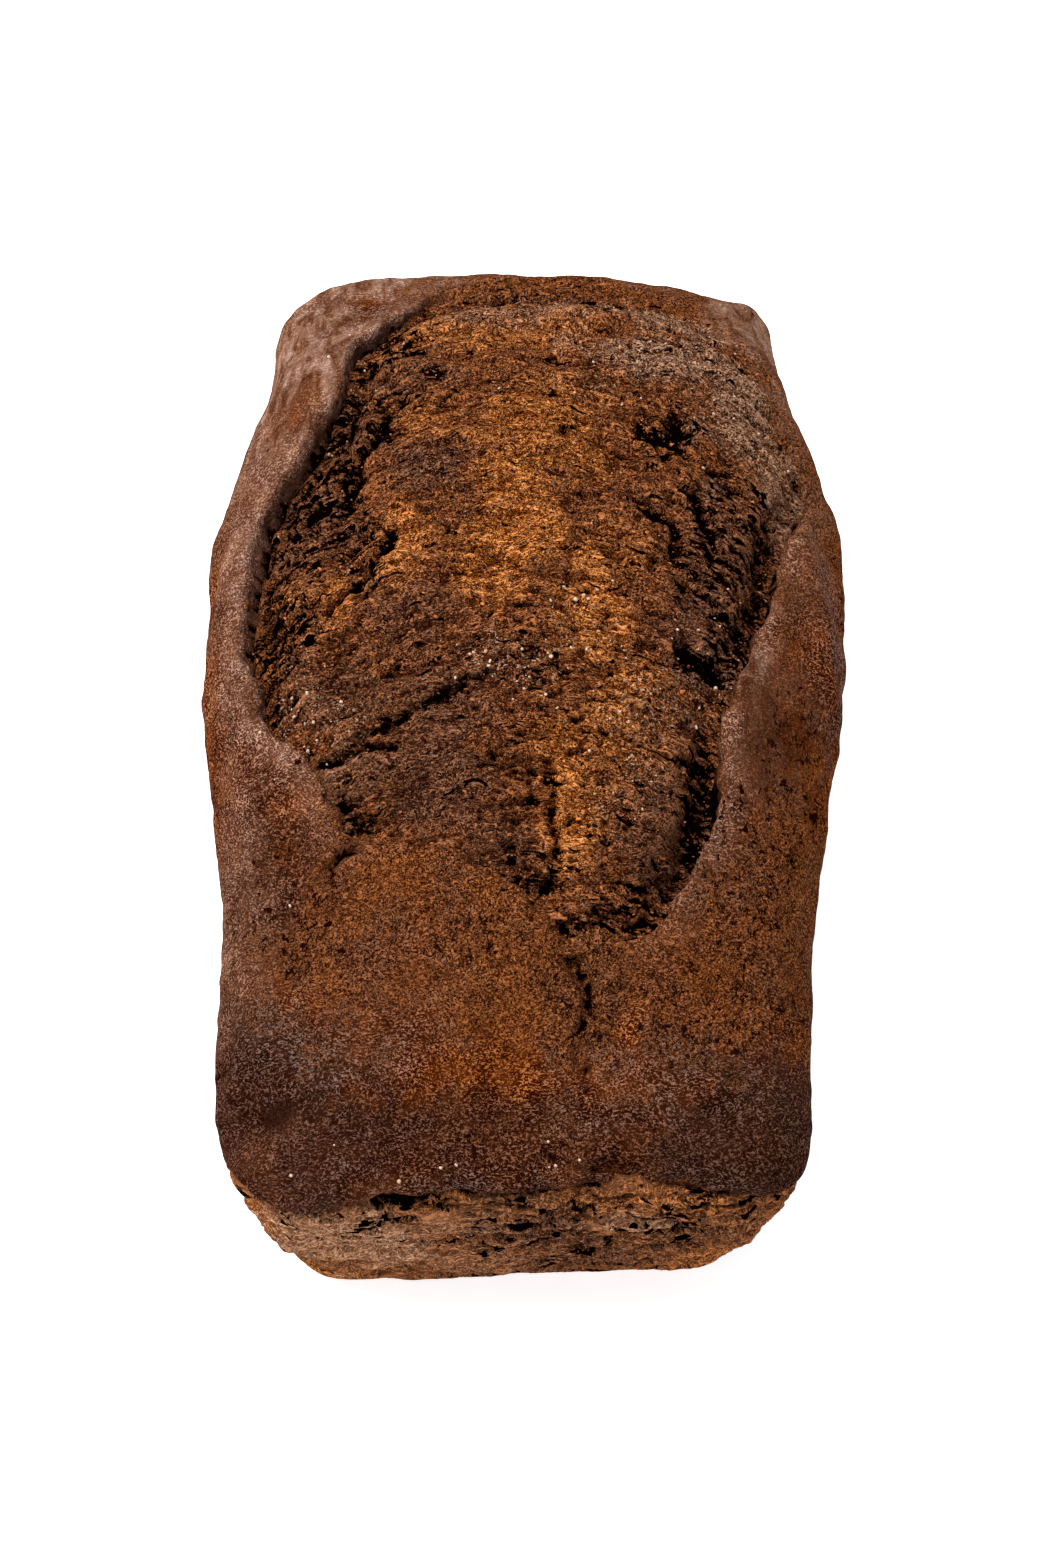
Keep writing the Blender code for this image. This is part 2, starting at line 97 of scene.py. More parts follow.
# The burst's lip seen from above, counter-clockwise: x, y and the crevice's depth inside it, in mm
LIP = (
    (-12, 99, 0.5), (-27, 82, 2.5), (-35, 69, 4.0), (-39, 50, 5.0), (-48, 36, 5.5), (-54, 20, 5.0),
    (-54, -4, 4.0), (-49, -21, 3.0), (-38, -34, 2.0), (-32, -46, 1.5), (-14, -51, 0.5), (0, -57, 1.0),
    (8, -67, 0.9), (18, -66, 1.0), (29, -60, 2.2), (36, -47, 5.0), (39, -35, 5.0), (40, -22, 3.5),
    (46, -4, 3.5), (52, 12, 4.0), (56, 28, 4.0), (60, 40, 2.0), (56, 58, 0.8), (49, 77, 0.5), (37, 94, 0.4),
    (12, 103, 0.4),
)
LIP_STEPS = 6
CREVICE_WALL, CREVICE_WIDTH = 2.2 * MM, 7.0 * MM
LIP_CURL, CURL_WIDTH = 0.32, 6.0 * MM
LIP_RAGGEDNESS, RAG_SIZE = 1.5 * MM, 9.0 * MM
GAPE_WAVES, GAPE_UNEVENNESS = 12.0 * MM, 0.35

# Cracks and holes in the top: points (x, y), half width and depth, in mm
CRACKS = {
    "left_slant": (((-38, 1), (-32, 5), (-26, 15)), 1.5, 3.4),
    "left_inner": (((-26, 50), (-32, 39), (-35, 26)), 1.7, 2.8),
    "middle_long": (((-30, -27), (-21, -23), (-10, -18)), 1.1, 2.0),
    "lump_back": (((-37, -32), (-30, -29), (-24, -30)), 1.5, 2.6),
    "hook": (((-30, -43), (-30, -48), (-36, -52)), 1.2, 2.4),
    "right_pocket": (((32, -8), (40, -11)), 2.2, 4.0),
    "right_slant": (((23, 24), (32, 19), (32, 14)), 1.4, 2.6),
    "right_holes": (((35, 29), (40, 17)), 1.7, 2.4),
    "back_hole": (((25, 46), (28, 42), (33, 44)), 2.0, 3.0),
    "arc": (((9, 11), (15, 13), (21, 9)), 1.1, 1.6),
    "far_hole": (((-6, 90), (0, 95)), 1.8, 2.4),
    "spine": (((6, -33), (8, -48), (6, -56)), 1.1, 1.8),
    "near_split": (((9, -63), (12, -71), (15, -78)), 1.5, 2.4),
    "split_tail": (((13, -79), (12, -86), (14, -92)), 1.1, 1.9),
    "rim_split": (((6, -103.5), (13, -105.2), (20, -107)), 1.3, 1.5),
    "side_pit": (((55, -43), (54, -47)), 1.5, 1.8),
}
CRACK_UNEVENNESS, CRACK_RAG_SIZE = 0.45, 4.0 * MM
CRACK_SOFTNESS = 1.5
WARP, WARP_SIZE = 1.5 * MM, 4.5 * MM

# Smooth forms: centre (x, y), radii (x, y) and height, in mm
SWELLINGS = {
    "near_left_bruise": ((-46, -97), (7, 6), -3.2),
    "near_left_cheek": ((-34, -84), (17, 14), 2.0),
    "near_right_cheek": ((26, -90), (24, 12), 1.6),
    "near_trough": ((-6, -101), (26, 7), -1.6),
    "lump": ((-31, -36), (8, 5), 2.6),
    "curled_lump": ((24, -44), (9, 7), 1.8),
    "smooth_boss": ((-14, 33), (11, 9), 1.8),
    "left_cheek": ((-44, 62), (7, 17), 1.5),
}
# The fold on the right: points (x, y), half width and height, in mm
FOLD = (((55, 28), (58, 17), (60, 4), (60, -9)), 3.6, 2.4)
SWELLING_SOFTNESS, FOLD_SOFTNESS = 1.6, 1.4

# The near end: height of the crust's rim over x, in mm
RIM_LINE = (
    (-56, 49), (-45, 51.5), (-39, 51.5), (-33, 54.5), (-24, 56.2), (-14, 57.3), (-9, 58), (-2, 57),
    (6, 58.2), (14, 59), (22, 60.3), (28, 60), (34, 59.2), (40, 57.8), (46, 55.8), (56, 51),
)
# Depth of the crevice under that rim over x, in mm
RIM_GAPE = (
    (-56, 0.3), (-43, 0.5), (-35, 1.1), (-30, 0.5), (-23, 1.4), (-15, 0.9), (-8, 0.6), (0, 0.9), (7, 0.8),
    (14, 1.2), (22, 0.6), (30, 0.5), (39, 1.1), (46, 0.7), (56, 0.4),
)
# How the rim wanders, the swollen edge above it, the crevice below it and where the torn face starts
RIM_RAGGEDNESS, RIM_RAG_SIZE = 1.3 * MM, 8.0 * MM
RIM_LIP, RIM_LIP_RISE, RIM_LIP_WIDTH = 1.3 * MM, 2.0 * MM, 3.0 * MM
RIM_CREVICE, RIM_CREVICE_DROP, RIM_CREVICE_WIDTH = 1.8 * MM, 2.2 * MM, 2.0 * MM
RIM_CREVICE_SHARE = 0.5
RIM_BLEND = 2.4 * MM
FACE_START, FACE_RUN = 16.0 * MM, 7.0 * MM
FLAKES, FLAKE_SIZE, FLAKE_CELL = 0.9 * MM, 4.2 * MM, 5.5 * MM
FLAKE_STRETCH = (0.25, 0.6, 1.0)
CALM_FOOT = 9.0 * MM

# Relief: height, then size of its largest waves, and the level and edge of the noise where pits open
CRUMB_LUMPS, LUMP_SIZE = 2.2 * MM, 17.0 * MM
FIBRE_RIDGES, FIBRE_PITCH = 1.0 * MM, 4.4 * MM
FIBRE_STRETCH, FIBRE_ARC, FIBRE_CENTRE_X = 3.4, 5.5, 2.0 * MM
FIBRE_LAYERS = 0.5
PITS, PIT_PITCH = 0.9 * MM, 7.0 * MM
PIT_LEVEL, PIT_EDGE = 0.18, 0.30
SEAM_SIZE, SEAM_WIDTH = 13.6 * MM, 0.35
SEAM_SHARE = 0.5
CRUST_WAVES, WAVE_SIZE = 1.0 * MM, 34.0 * MM
WALL_WAVES, WALL_WAVE_SIZE = 0.8 * MM, 12.0 * MM
LEATHER, LEATHER_SIZE = 0.10 * MM, 3.0 * MM
CRUST_PITS, CRUST_PIT_SIZE = 0.5 * MM, 4.0 * MM
CRUST_PIT_LEVEL, CRUST_PIT_EDGE = 0.42, 0.15

# Fine relief of the crumb, written in the same way, and how much calmer it is in dusky and smooth places
STRANDS, STRAND_PITCH = 0.3 * MM, 1.5 * MM
GRAINS, GRAIN_SIZE = 0.45 * MM, 1.1 * MM
GRAIN_LEVEL = 0.45
PORES, PORE_PITCH = 1.3 * MM, 1.5 * MM
PORE_LEVEL, PITTED_LEVEL, PORE_EDGE = 0.36, 0.12, 0.14
PITTED_DEPTH = 0.6
PORE_SHAPE = np.array((1.7, 1.0, 1.0))
RIFTS, RIFT_CELL, RIFT_WIDTH, RIFT_PATCH = 1.0 * MM, 5.0 * MM, 0.12, 11.0 * MM
RIFT_CONTRAST, RIFT_LEVEL = 2.0, 0.35
CALM_SHARE = 0.45
END_CALM, SHAGGY_START, SHAGGY_RUN = 0.4, -22.0 * MM, 20.0 * MM

# Where the surface turns into torn crumb, by depth inside the lip
TORN_RUN = 3.0 * MM
TORN_LEAD, SOFT_TORN_LEAD = 0.33, 0.5
SOFT_TORN_RUN, CRUSTY_START, CRUSTY_RUN = 6.0 * MM, 0.0 * MM, 9.0 * MM

# The crust's section across a torn lip, by depth inside the lip: where each bend starts and how long it runs
CRUST_THICKNESS = 1.1 * MM
NOSE_START, NOSE_RUN = 0.0 * MM, 0.7 * MM
DROP_START, DROP_RUN = 0.7 * MM, 2.0 * MM
LIP_FALL = 0.9 * MM
SOFT_START, SOFT_RUN = 0.0 * MM, 9.0 * MM
UNDERCUT, UNDERCUT_START, UNDERCUT_RUN = 2.6 * MM, 0.3 * MM, 1.4 * MM
RETURN_START, RETURN_RUN = 2.0 * MM, 3.0 * MM
SOFT_GAPE, HARD_GAPE = 0.8 * MM, 2.3 * MM
BURST_HOLLOW, END_HOLLOW = 8.0 * MM, 6.5 * MM
LIP_CRUMBLE, CRUMBLE_SIZE = 0.35 * MM, 4.0 * MM
SOFT_CRUMBLE, SOFT_CRUMBLE_SIZE = 3.0 * MM, 5.0 * MM
LIP_CROWD, CROWD_RUN = 0.35, 9.0 * MM
LEAST_STEEPNESS = 0.25
WALL_ROW_STRETCH = 1.8

# The crumb's plugs: how far and how steeply they dive under the crust's edge, and the places that they fill
PLUG_MARGIN, PLUG_DIVE = 4.2 * MM, 1.2
PLUG_SKIRT, PLUG_TAPER = 5.0 * MM, 0.92
BURST_X, BURST_Y = (-57.0 * MM, 57.0 * MM), (-78.0 * MM, 110.0 * MM)
BURST_DIVE_START = 0.17
END_WRAP, END_OVERLAP = 16.0 * MM, 9.0 * MM
END_DIVE_START, END_CRACK_DIVE = TORN_RUN / 6, 1.2
END_SIDE_DIVE = 1.5 * MM
END_SIDE_RUN, END_NEAR_LEAST = 0.5, 0.01
END_PLUG_RISE = 0.4 * MM
END_CREVICE_START, END_CREVICE_RUN = 0.9 * MM, 2.6 * MM
END_GAPE_SHARE = 1.1
FOOT_BLEND = 3.0 * MM

# Painted shade in hollows: how deep and how wide a hollow has to be, and how patchy that shade is
SMALL_CAVITY, LARGE_CAVITY = 3, 9
LARGE_CAVITY_SHARE, HOLLOW_CAVITY_SHARE = 0.5, 0.25
HOLLOW_START, HOLLOW_RUN = 0.9 * MM, 1.6 * MM
GAP_SHARE, GAP_MOST, GAP_START, GAP_RUN = 0.9, 1.3 * MM, 1.2 * MM, 2.8 * MM
PATCHINESS, PATCH_SIZE = 1.5, 2.2 * MM
END_PATCHINESS = 3.0
CRUST_HOLLOW_START, CRUST_HOLLOW_RUN = 1.1 * MM, 1.5 * MM
LIP_SHADE_START, LIP_SHADE_RUN, LIP_SHADE_PATCHES = 1.2 * MM, 0.6 * MM, 0.6 * MM

# Pale and grainy crust: along the lip by side, partly a painted highlight on the lip's edge, down the walls,
# and where the crust thins out
PALE_LIP, PALE_LIP_WIDTH = {-1: 0.72, 1: 0.42}, 5.0 * MM
PALE_WALL, PALE_WALL_Z, PALE_WALL_RUN = 0.45, 40.0 * MM, 22.0 * MM
HIGH_ZONE_Z, HIGH_ZONE_RUN = 22.0 * MM, 34.0 * MM
CALM_PALE = 0.7
GRAINY_REACH = 16.0 * MM

# Zones: how their edges wander, and after what share of a radius, and over what share, they fade
ZONE_WANDER, ZONE_WANDER_SIZE = 0.6, 8.0 * MM
ZONE_CORE, ZONE_FADE = 0.45, 0.9

# Zones of the burst's crumb: centre (x, y) and radii (x, y) in mm, and strength
PITTED_ZONES = (
    ((-42, 28), (12, 20), 0.85),
    ((-36, 48), (9, 12), 0.85),
    ((-29, 68), (8, 10), 0.9),
    ((-48, -2), (7, 16), 0.9),
    ((-32, 14), (8, 9), 0.8),
    ((-24, 56), (8, 8), 0.6),
    ((42, 24), (13, 15), 0.7),
    ((44, 2), (9, 14), 0.8),
    ((32, 6), (7, 8), 0.5),
    ((31, 43), (8, 6), 0.9),
    ((37, -42), (6, 16), 1.0),
    ((24, -60), (12, 7), 0.7),
    ((11, -68), (7, 12), 0.6),
    ((-31, -46), (6, 7), 0.9),
    ((0, -53), (14, 5), 0.45),
    ((-2, 92), (10, 6), 0.8),
    ((14, 90), (6, 5), 0.7),
    ((-5, -14), (14, 6), 0.4),
    ((36, 74), (18, 14), 0.35),
)
GOLDEN_ZONES = (
    ((-1, 22), (10, 18), 1.0),
    ((-6, 5), (8, 7), 0.9),
    ((15, -3), (7, 12), 1.0),
    ((21, -22), (8, 12), 0.8),
    ((3, 42), (16, 12), 0.7),
    ((-36, 4), (5, 9), 0.5),
    ((9, -40), (6, 15), 0.9),
    ((20, 12), (8, 8), 0.4),
    ((-11, -66), (14, 9), 0.55),
    ((-23, 13), (6, 13), 0.7),
    ((-1, 74), (20, 8), 0.55),
    ((-46, 6), (3, 6), 0.5),
    ((-18, 45), (8, 8), 0.5),
)
DUSKY_ZONES = (
    ((-19, 32), (9, 8), 1.0),
    ((-42, 22), (12, 18), 0.7),
    ((-36, 44), (8, 10), 0.6),
    ((-21, -3), (11, 10), 0.7),
    ((-35, -18), (11, 8), 0.8),
    ((-14, -22), (12, 10), 0.8),
    ((-16, -38), (12, 10), 0.9),
    ((-30, -34), (9, 7), 1.0),
    ((-3, -49), (10, 8), 0.7),
    ((28, -46), (9, 13), 0.85),
    ((38, -3), (11, 15), 0.9),
    ((41, 18), (12, 14), 0.8),
    ((28, -24), (8, 8), 0.6),
    ((12, -68), (8, 10), 0.7),
    ((-25, 58), (12, 8), 0.6),
    ((52, 28), (6, 10), 0.7),
    ((-7, -13), (8, 6), 0.5),
)
DUSTY_ZONES = (
    ((30, 68), (18, 8), 0.7),
    ((46, 58), (10, 18), 0.7),
    ((36, 86), (16, 9), 0.65),
    ((10, 88), (16, 6), 0.3),
    ((54, 38), (8, 14), 0.6),
    ((-4, 82), (16, 6), 0.4),
)
SUGARY_ZONES = (
    ((-1, -13), (12, 6), 1.0),
    ((12, -6), (7, 7), 0.8),
    ((-43, -17), (7, 9), 0.9),
    ((-36, -26), (7, 6), 0.8),
    ((24, -20), (9, 8), 0.8),
    ((38, -14), (8, 10), 0.8),
    ((22, -38), (8, 7), 0.6),
    ((26, 66), (14, 10), 0.9),
    ((42, 52), (10, 14), 0.9),
    ((16, 56), (10, 8), 0.7),
    ((-2, 20), (10, 14), 0.3),
    ((-36, 60), (6, 10), 0.5),
)

# Zones of the crust, written in the same way
# Dark zones: the crust's own browning, with painted shade in the band along the near end's trough and in the
# near split
DARK_ZONES = (
    ((-47, -92), (18, 17), 0.85),
    ((-46, -104), (22, 13), 0.7),
    ((46, -100), (24, 18), 0.85),
    ((-4, -101), (60, 9), 0.65),
    ((12, -74), (9, 14), 0.6),
    ((-46, -55), (10, 20), 0.35),
    ((49, -24), (7, 14), 0.45),
    ((50, -60), (9, 24), 0.25),
)
WARM_ZONES = (
    ((8, -76), (26, 22), 0.9),
    ((6, -97), (14, 12), 0.6),
    ((-17, -80), (18, 18), 0.4),
    ((26, -80), (18, 18), 0.45),
)
PALE_ZONES = (
    ((-47, 78), (16, 26), 0.8),
    ((-54, 40), (8, 36), 0.5),
    ((-56, 0), (5, 40), 0.28),
    ((-36, 102), (28, 12), 0.9),
    ((50, 92), (14, 22), 1.0),
    ((56, 66), (6, 14), 0.7),
    ((54, 56), (8, 22), 0.5),
    ((-52, -60), (9, 34), 0.35),
)
CALM_ZONES = (
    ((50, -24), (10, 24), 1.0),
    ((-47, 72), (16, 34), 1.0),
    ((-34, 102), (26, 10), 0.9),
    ((50, 98), (12, 16), 1.0),
    ((-50, -60), (8, 24), 0.4),
    ((44, -98), (22, 16), 0.3),
    ((-44, -98), (22, 18), 0.3),
)
# Sheen zones: where the crust has a glossy coat, and where a painted sheen turns its lighter specks grey-pink
SHEEN_ZONES = (
    ((-29, -87), (17, 9), 1.0),
    ((-45, -84), (9, 9), 0.6),
    ((24, -91), (22, 8), 0.8),
    ((45, -90), (8, 9), 0.6),
    ((-18, -68), (14, 9), 0.5),
    ((24, -74), (12, 8), 0.3),
    ((60, 6), (6, 22), 0.9),
    ((-8, -109), (40, 3), 0.9),
    ((-52, 40), (7, 34), 0.4),
    ((-44, 66), (8, 14), 0.5),
)
CRUST_PITTED_ZONES = (
    ((-40, -62), (12, 12), 0.8),
    ((-20, -62), (12, 8), 0.7),
    ((-6, -64), (10, 8), 0.8),
    ((-44, -48), (8, 10), 0.6),
    ((54, -30), (8, 22), 1.0),
    ((44, -50), (12, 16), 1.0),
    ((38, -74), (16, 14), 0.9),
    ((14, -76), (8, 12), 0.9),
    ((58, 34), (8, 12), 0.6),
)
GRAINY_ZONES = (
    ((12, -76), (8, 14), 1.0),
    ((-30, -66), (16, 16), 0.8),
    ((0, -68), (22, 14), 0.9),
    ((38, -70), (14, 16), 0.7),
    ((52, -50), (10, 20), 0.8),
    ((24, 97), (24, 12), 0.9),
    ((10, 108), (44, 10), 0.9),
    ((57, 48), (12, 30), 1.0),
    ((44, 76), (14, 16), 0.8),
)
# Painted shade in the dent at the near left corner, written in the same way
PAINTED_DENT_SHADE = (((-43.5, -97), (4, 2.4), 0.42),)

# Zones of the near end's crumb: centre (x, z) and radii (x, z) in mm, and strength
END_PITTED_ZONES = (
    ((-36, 50), (6, 2.5), 0.9),
    ((-18, 53), (9, 3), 1.0),
    ((-22, 47), (7, 3), 0.9),
    ((-30, 42), (5, 3), 0.5),
    ((0, 53), (12, 4), 0.5),
    ((14, 54), (12, 4), 0.5),
    ((4, 44), (16, 6), 0.7),
    ((36, 53), (10, 5), 0.6),
    ((28, 44), (12, 7), 0.6),
    ((12, 30), (20, 8), 0.4),
    ((-16, 34), (14, 8), 0.4),
)
END_GOLDEN_ZONES = (
    ((-48, 34), (6, 12), 0.6),
    ((-44, 6), (14, 7), 0.5),
    ((42, 10), (14, 12), 0.55),
    ((26, 52), (16, 6), 0.35),
)
END_DUSTY_ZONES = (
    ((-32, 32), (18, 20), 0.75),
    ((-12, 42), (14, 8), 0.3),
    ((-10, 18), (14, 8), 0.25),
    ((22, 46), (8, 6), 0.5),
)
END_DUSKY_ZONES = (
    ((6, 38), (14, 14), 0.9),
    ((14, 18), (18, 12), 0.85),
    ((34, 36), (14, 14), 0.6),
    ((24, 50), (14, 6), 0.45),
    ((-4, 6), (14, 6), 0.4),
)
# How coarse the near end's grain is along x, y and z, and how strong the painted shade in its gaps is
END_GRAIN_SHARE, END_GAP_SHARE = (0.75, 0.75, 0.55), 0.55

# The materials' noises: size of the largest waves, weight, and the range in which each leaves its mark
STREAK_SIZE, STREAK_SHARE = 2.6 * MM, (1.0, 0.22, 0.6)
# The streaks' grooves get a painted shade, and their ridges a painted sheen
STREAK_GROOVES, STREAK_RIDGES, STREAK_HEIGHT = (0.50, 0.40), (0.53, 0.64), 5.0
STROKE_BEND, STROKE_SHARE = (14.0 * MM, 5.0 * MM), (0.72, 1.0, 0.9)
PEBBLE_SIZE, PEBBLE_WEIGHT = 0.40 * MM, 0.65
FINEST_SIZE, FINEST_WEIGHT = 0.25 * MM, 0.45
WRINKLE_SIZE, WRINKLE_WIDTH, WRINKLE_WEIGHT = 0.70 * MM, 0.09, 0.28
SKIN_FOLD_SIZE, SKIN_FOLD_WEIGHT = 3.0 * MM, 0.9
SPECK_RANGE, SPECKS_DARK, SPECKS_LIGHT = (0.52, 0.86), (0.5, 0.0), (0.54, 1.0)
SKIN_PIT_SIZE, SKIN_PIT_RANGE, SKIN_PIT_DEPTH, PITTED_PITS = 1.9 * MM, (0.655, 0.685), 1.2, 0.035
PIT_CROWD_SIZE, PIT_CROWD_RANGE, PITTED_CROWDS = 13.0 * MM, (0.44, 0.64), 0.22
SKIN_CRACK_SIZE, SKIN_CRACK_SHARE, SKIN_CRACK_WIDTH = 2.2 * MM, (1.0, 0.5, 0.6), (0.030, 0.012)
SKIN_CRACK_BREAKS, SKIN_CRACK_ZONES = (0.50, 0.56), (0.2, 0.8)
MOTTLE_SIZE, MOTTLE_RANGE = 12.0 * MM, (0.38, 0.64)
BLOTCH_SIZE, BLOTCHES_DEEP, BLOTCHES_BRIGHT = 7.0 * MM, (0.48, 0.34), (0.52, 0.66)
DEEPER, BRIGHTER = (0.66, 0.56, 0.46), (1.32, 1.40, 1.40)
# The lighter specks are partly a painted glint, turned grey-pink where the crust is dark and in the sheen
# zones
SPECK_DARKER, SPECK_LIGHTER = (0.22, 0.09, 0.04), (2.7, 3.4, 4.0)
GLINT_OF_BAKE, GLINT_OF_SHEEN = (0.0, 1.0, 0.05, 0.3), 0.6
ROUGH_SIZE, ROUGH_RANGE, CALM_SPECKS = 6.0 * MM, (0.34, 0.56, 0.7, 1.0), 0.6
GRAINY_COLOUR, GRAINY_HEIGHT = 0.8, 1.2
CRUST_HOLLOW_RAGS, CRUST_HOLLOW_RANGE, SHEEN_RANGE = 0.5, (0.35, 0.65), (0.2, 0.9)
CRUMB_BEND = (5.0 * MM, 4.0 * MM)
FINE_STRAND_SIZE, FINE_STRAND_WEIGHT = 0.42 * MM, 0.6
FINE_GRAIN_SIZE, FINE_GRAIN_WEIGHT = 0.42 * MM, 0.5
# Curls: size, width, detail and distortion. The first lies any way, the others follow the fibres
CURLS = ((1.1 * MM, 0.08, 1.0, 1.2), (0.8 * MM, 0.08, 1.0, 1.0), (0.5 * MM, 0.10, 0.0, 1.0))
CURL_WEIGHT = 0.50
HOLE_SIZE, HOLE_RANGE, PITTED_HOLES = 1.3 * MM, (0.635, 0.665), 0.16
CAVITY_WEIGHT, LIGHT_RANGE, GAP_RANGE = 90.0, (0.89, 1.11), (0.765, 0.61)
DUSK_PATCH, DUSK_PATCH_RANGE, PITTED_DUSK = 7.0 * MM, (0.40, 0.62), 0.9
DUSKY_LIGHT = (0.0, 1.0, 1.0, 0.8)
# Sugar flecks: sugar in the sugary and dusty zones, and at their least share everywhere a painted glint on
# the strands
FLECK_SIZE, FLECK_RANGE, DUSTY_FLECKS, LEAST_GLINT_FLECKS = 0.60 * MM, (0.595, 0.635), 0.9, 0.22
GLINT_RANGE, GLINT_ZONES = (0.58, 0.72), (0.0, 1.0, 0.2, 1.0)
CRUMB_HOLLOW_RAGS, CRUMB_HOLLOW_RANGE = 0.4, (0.40, 0.75)
STAIN_SIZE, STAIN_RANGE = 3.0 * MM, (0.4, 0.62)
FROST_SIZE, FROST_RANGE = 0.3 * MM, (0.3, 0.7, 0.25, 0.6)
SPECKLE_SIZE, SPECKLE_RANGE = 0.4 * MM, (0.3, 0.7, -0.15, 0.15)
LIGHT_BITS, DARK_BITS = (0.35, 1.15), (0.30, 0.0)
CLOUD_SIZE, CLOUD_RANGE, FLOOR_ROUGHNESS = 400.0 * MM, (0.3, 0.7, 0.0, 0.03), 0.9

# Loose crumbs: unevenness, spread of their sizes, tilt, how deep they sit, and stretch along x, y and z
BIT_UNEVENNESS, BIT_SPREAD, BIT_TILT, BIT_SINK = 0.16, 0.32, 0.5, 0.1
BIT_STRETCH = ((0.8, 2.2), (0.6, 1.1), (0.5, 0.9))

# Sugar: grains that lie alone, and the patches where others are strewn, as (x, y) and spread, in mm
SUGAR_PLACES = (
    (7, -106), (8.2, -105.7), (12.6, -105), (-10, -105.7), (-12.8, -106.2), (-20.4, -108.5),
    (-32.4, -102.7), (-40.2, -107.5), (0.6, -11.7), (26.1, 67.6), (-44, -16), (35, -18.7), (13.8, -30.2),
    (-49, 25), (-39.6, 44), (-44.8, 29.2), (21.2, -24.7), (43.6, 57.8), (48.5, 49.8), (-30.8, 56.8),
    (-30, 55.1),
)
SUGAR_PATCHES = (
    ((-3, -12), (5, 4)),
    ((4, -17), (5, 3)),
    ((11, -5), (5, 5)),
    ((17, -10), (6, 8)),
    ((26, -18), (6, 5)),
    ((23, -37), (5, 5)),
    ((-42, -18), (4, 6)),
    ((-36, -26), (5, 5)),
    ((16, 55), (9, 6)),
    ((26, 68), (9, 7)),
    ((44, 50), (6, 10)),
    ((36, -2), (6, 8)),
    ((-36, 66), (5, 8)),
    ((0, 20), (38, 40)),
)
# Bevel and unevenness of a crystal, sizes of the lone grains and of the others, and how high they stand
CRYSTAL_BEVEL, CRYSTAL_UNEVENNESS = 0.22, 0.07
LONE_SIZE, SUGAR_SPREAD, SUGAR_MOST = 1.4, 0.5, 1.7
SUGAR_STRETCH, SUGAR_STAND = (0.5, 1.5), 0.2
RAY_START = 0.2

# Stage
FLOOR_SIZE = 6.0
FLOOR_SHADE = (0.85, 0.88, 0.92)
ROOM_COLOUR, GLOW_COLOUR = (0.97, 0.985, 1.0), (0.97, 0.985, 1.0)
AIM = (0.0005, -0.0036, 0.03)
KEY_PLACE, KEY_SIZE, KEY_COLOUR = (-0.9, 0.25, 0.8), 0.55, (1.0, 0.99, 0.97)
TOP_PLACE, TOP_SIZE, TOP_COLOUR = (-0.15, 0.12, 1.2), 0.6, (1.0, 1.0, 1.0)
SENSOR, LENS = 36.0, 67.3
CAMERA_YAW, CAMERA_ROLL = math.radians(-0.25), math.radians(0.6)


def smooth(t):
    """0 below nought, 1 above one, and an even S between."""
    t = np.clip(t, 0.0, 1.0)
    return t * t * (3.0 - 2.0 * t)


def eased(value, start, run):
    """0 before a start, 1 at the end of a run, and an even S between."""
    return smooth((value - start) / run)


def hump(t):
    """1 at nought, falling off evenly to both sides."""
    return np.exp(-(t**2))


def noise_at(points, size, seed, octaves=3):
    """Fractal noise of about -1 to 1 at each point, whose largest waves are about size long."""
    places = points / size + seed * SEED_SHIFT
    return np.array([noise.fractal(place, 1.0, 2.0, octaves) for place in places.tolist()])


def cells_at(points, size, seed):
    """Distance from each point to the nearest of scattered seeds, and how much further the next one is."""
    places = points / size + seed * CELL_SHIFT
    found = np.array([noise.voronoi(place)[0][:2] for place in places.tolist()])
    return found[:, 0], found[:, 1] - found[:, 0]


def curve_through(points, closed, steps):
    """Points on a Catmull-Rom curve through the given ones, with steps pieces to each span."""
    points = np.array(points, float)
    count = len(points)
    spans = count if closed else count - 1
    out = []
    for i in range(spans):
        near = [(i + k) % count if closed else min(max(i + k, 0), count - 1) for k in (-1, 0, 1, 2)]
        a, b, c, d = points[near]
        bend, twist = 2 * a - 5 * b + 4 * c - d, 3 * b - a - 3 * c + d
        for t in np.arange(steps) / steps:
            out.append(0.5 * (2 * b + (c - a) * t + bend * t**2 + twist * t**3))
    if not closed:
        out.append(points[-1])
    return np.array(out)


def nearest_on_line(x, y, line, closed=False):
    """Distance from each (x, y) to a line of points, and the line's further columns at the nearest place."""
    ends = np.roll(line, -1, axis=0) if closed else line[1:]
    starts = line if closed else line[:-1]
    best = np.full(len(x), np.inf)
    extra = np.zeros((len(x), line.shape[1] - 2))
    for a, b in zip(starts, ends, strict=True):
        run = b[:2] - a[:2]
        share = np.clip(((x - a[0]) * run[0] + (y - a[1]) * run[1]) / max(run @ run, 1e-12), 0.0, 1.0)
        gap = np.hypot(x - a[0] - share * run[0], y - a[1] - share * run[1])
        closer = gap < best
        best = np.where(closer, gap, best)
        extra[closer] = a[2:] + share[closer, None] * (b[2:] - a[2:])
    return best, extra


def is_inside(x, y, outline):
    """Whether each (x, y) lies inside a closed outline."""
    inside = np.zeros(len(x), bool)
    for a, b in zip(outline, np.roll(outline, -1, axis=0), strict=True):
        spans = (a[1] > y) != (b[1] > y)
        rise = b[1] - a[1] if b[1] != a[1] else 1e-12
        inside ^= spans & (x < (b[0] - a[0]) * (y - a[1]) / rise + a[0])
    return inside


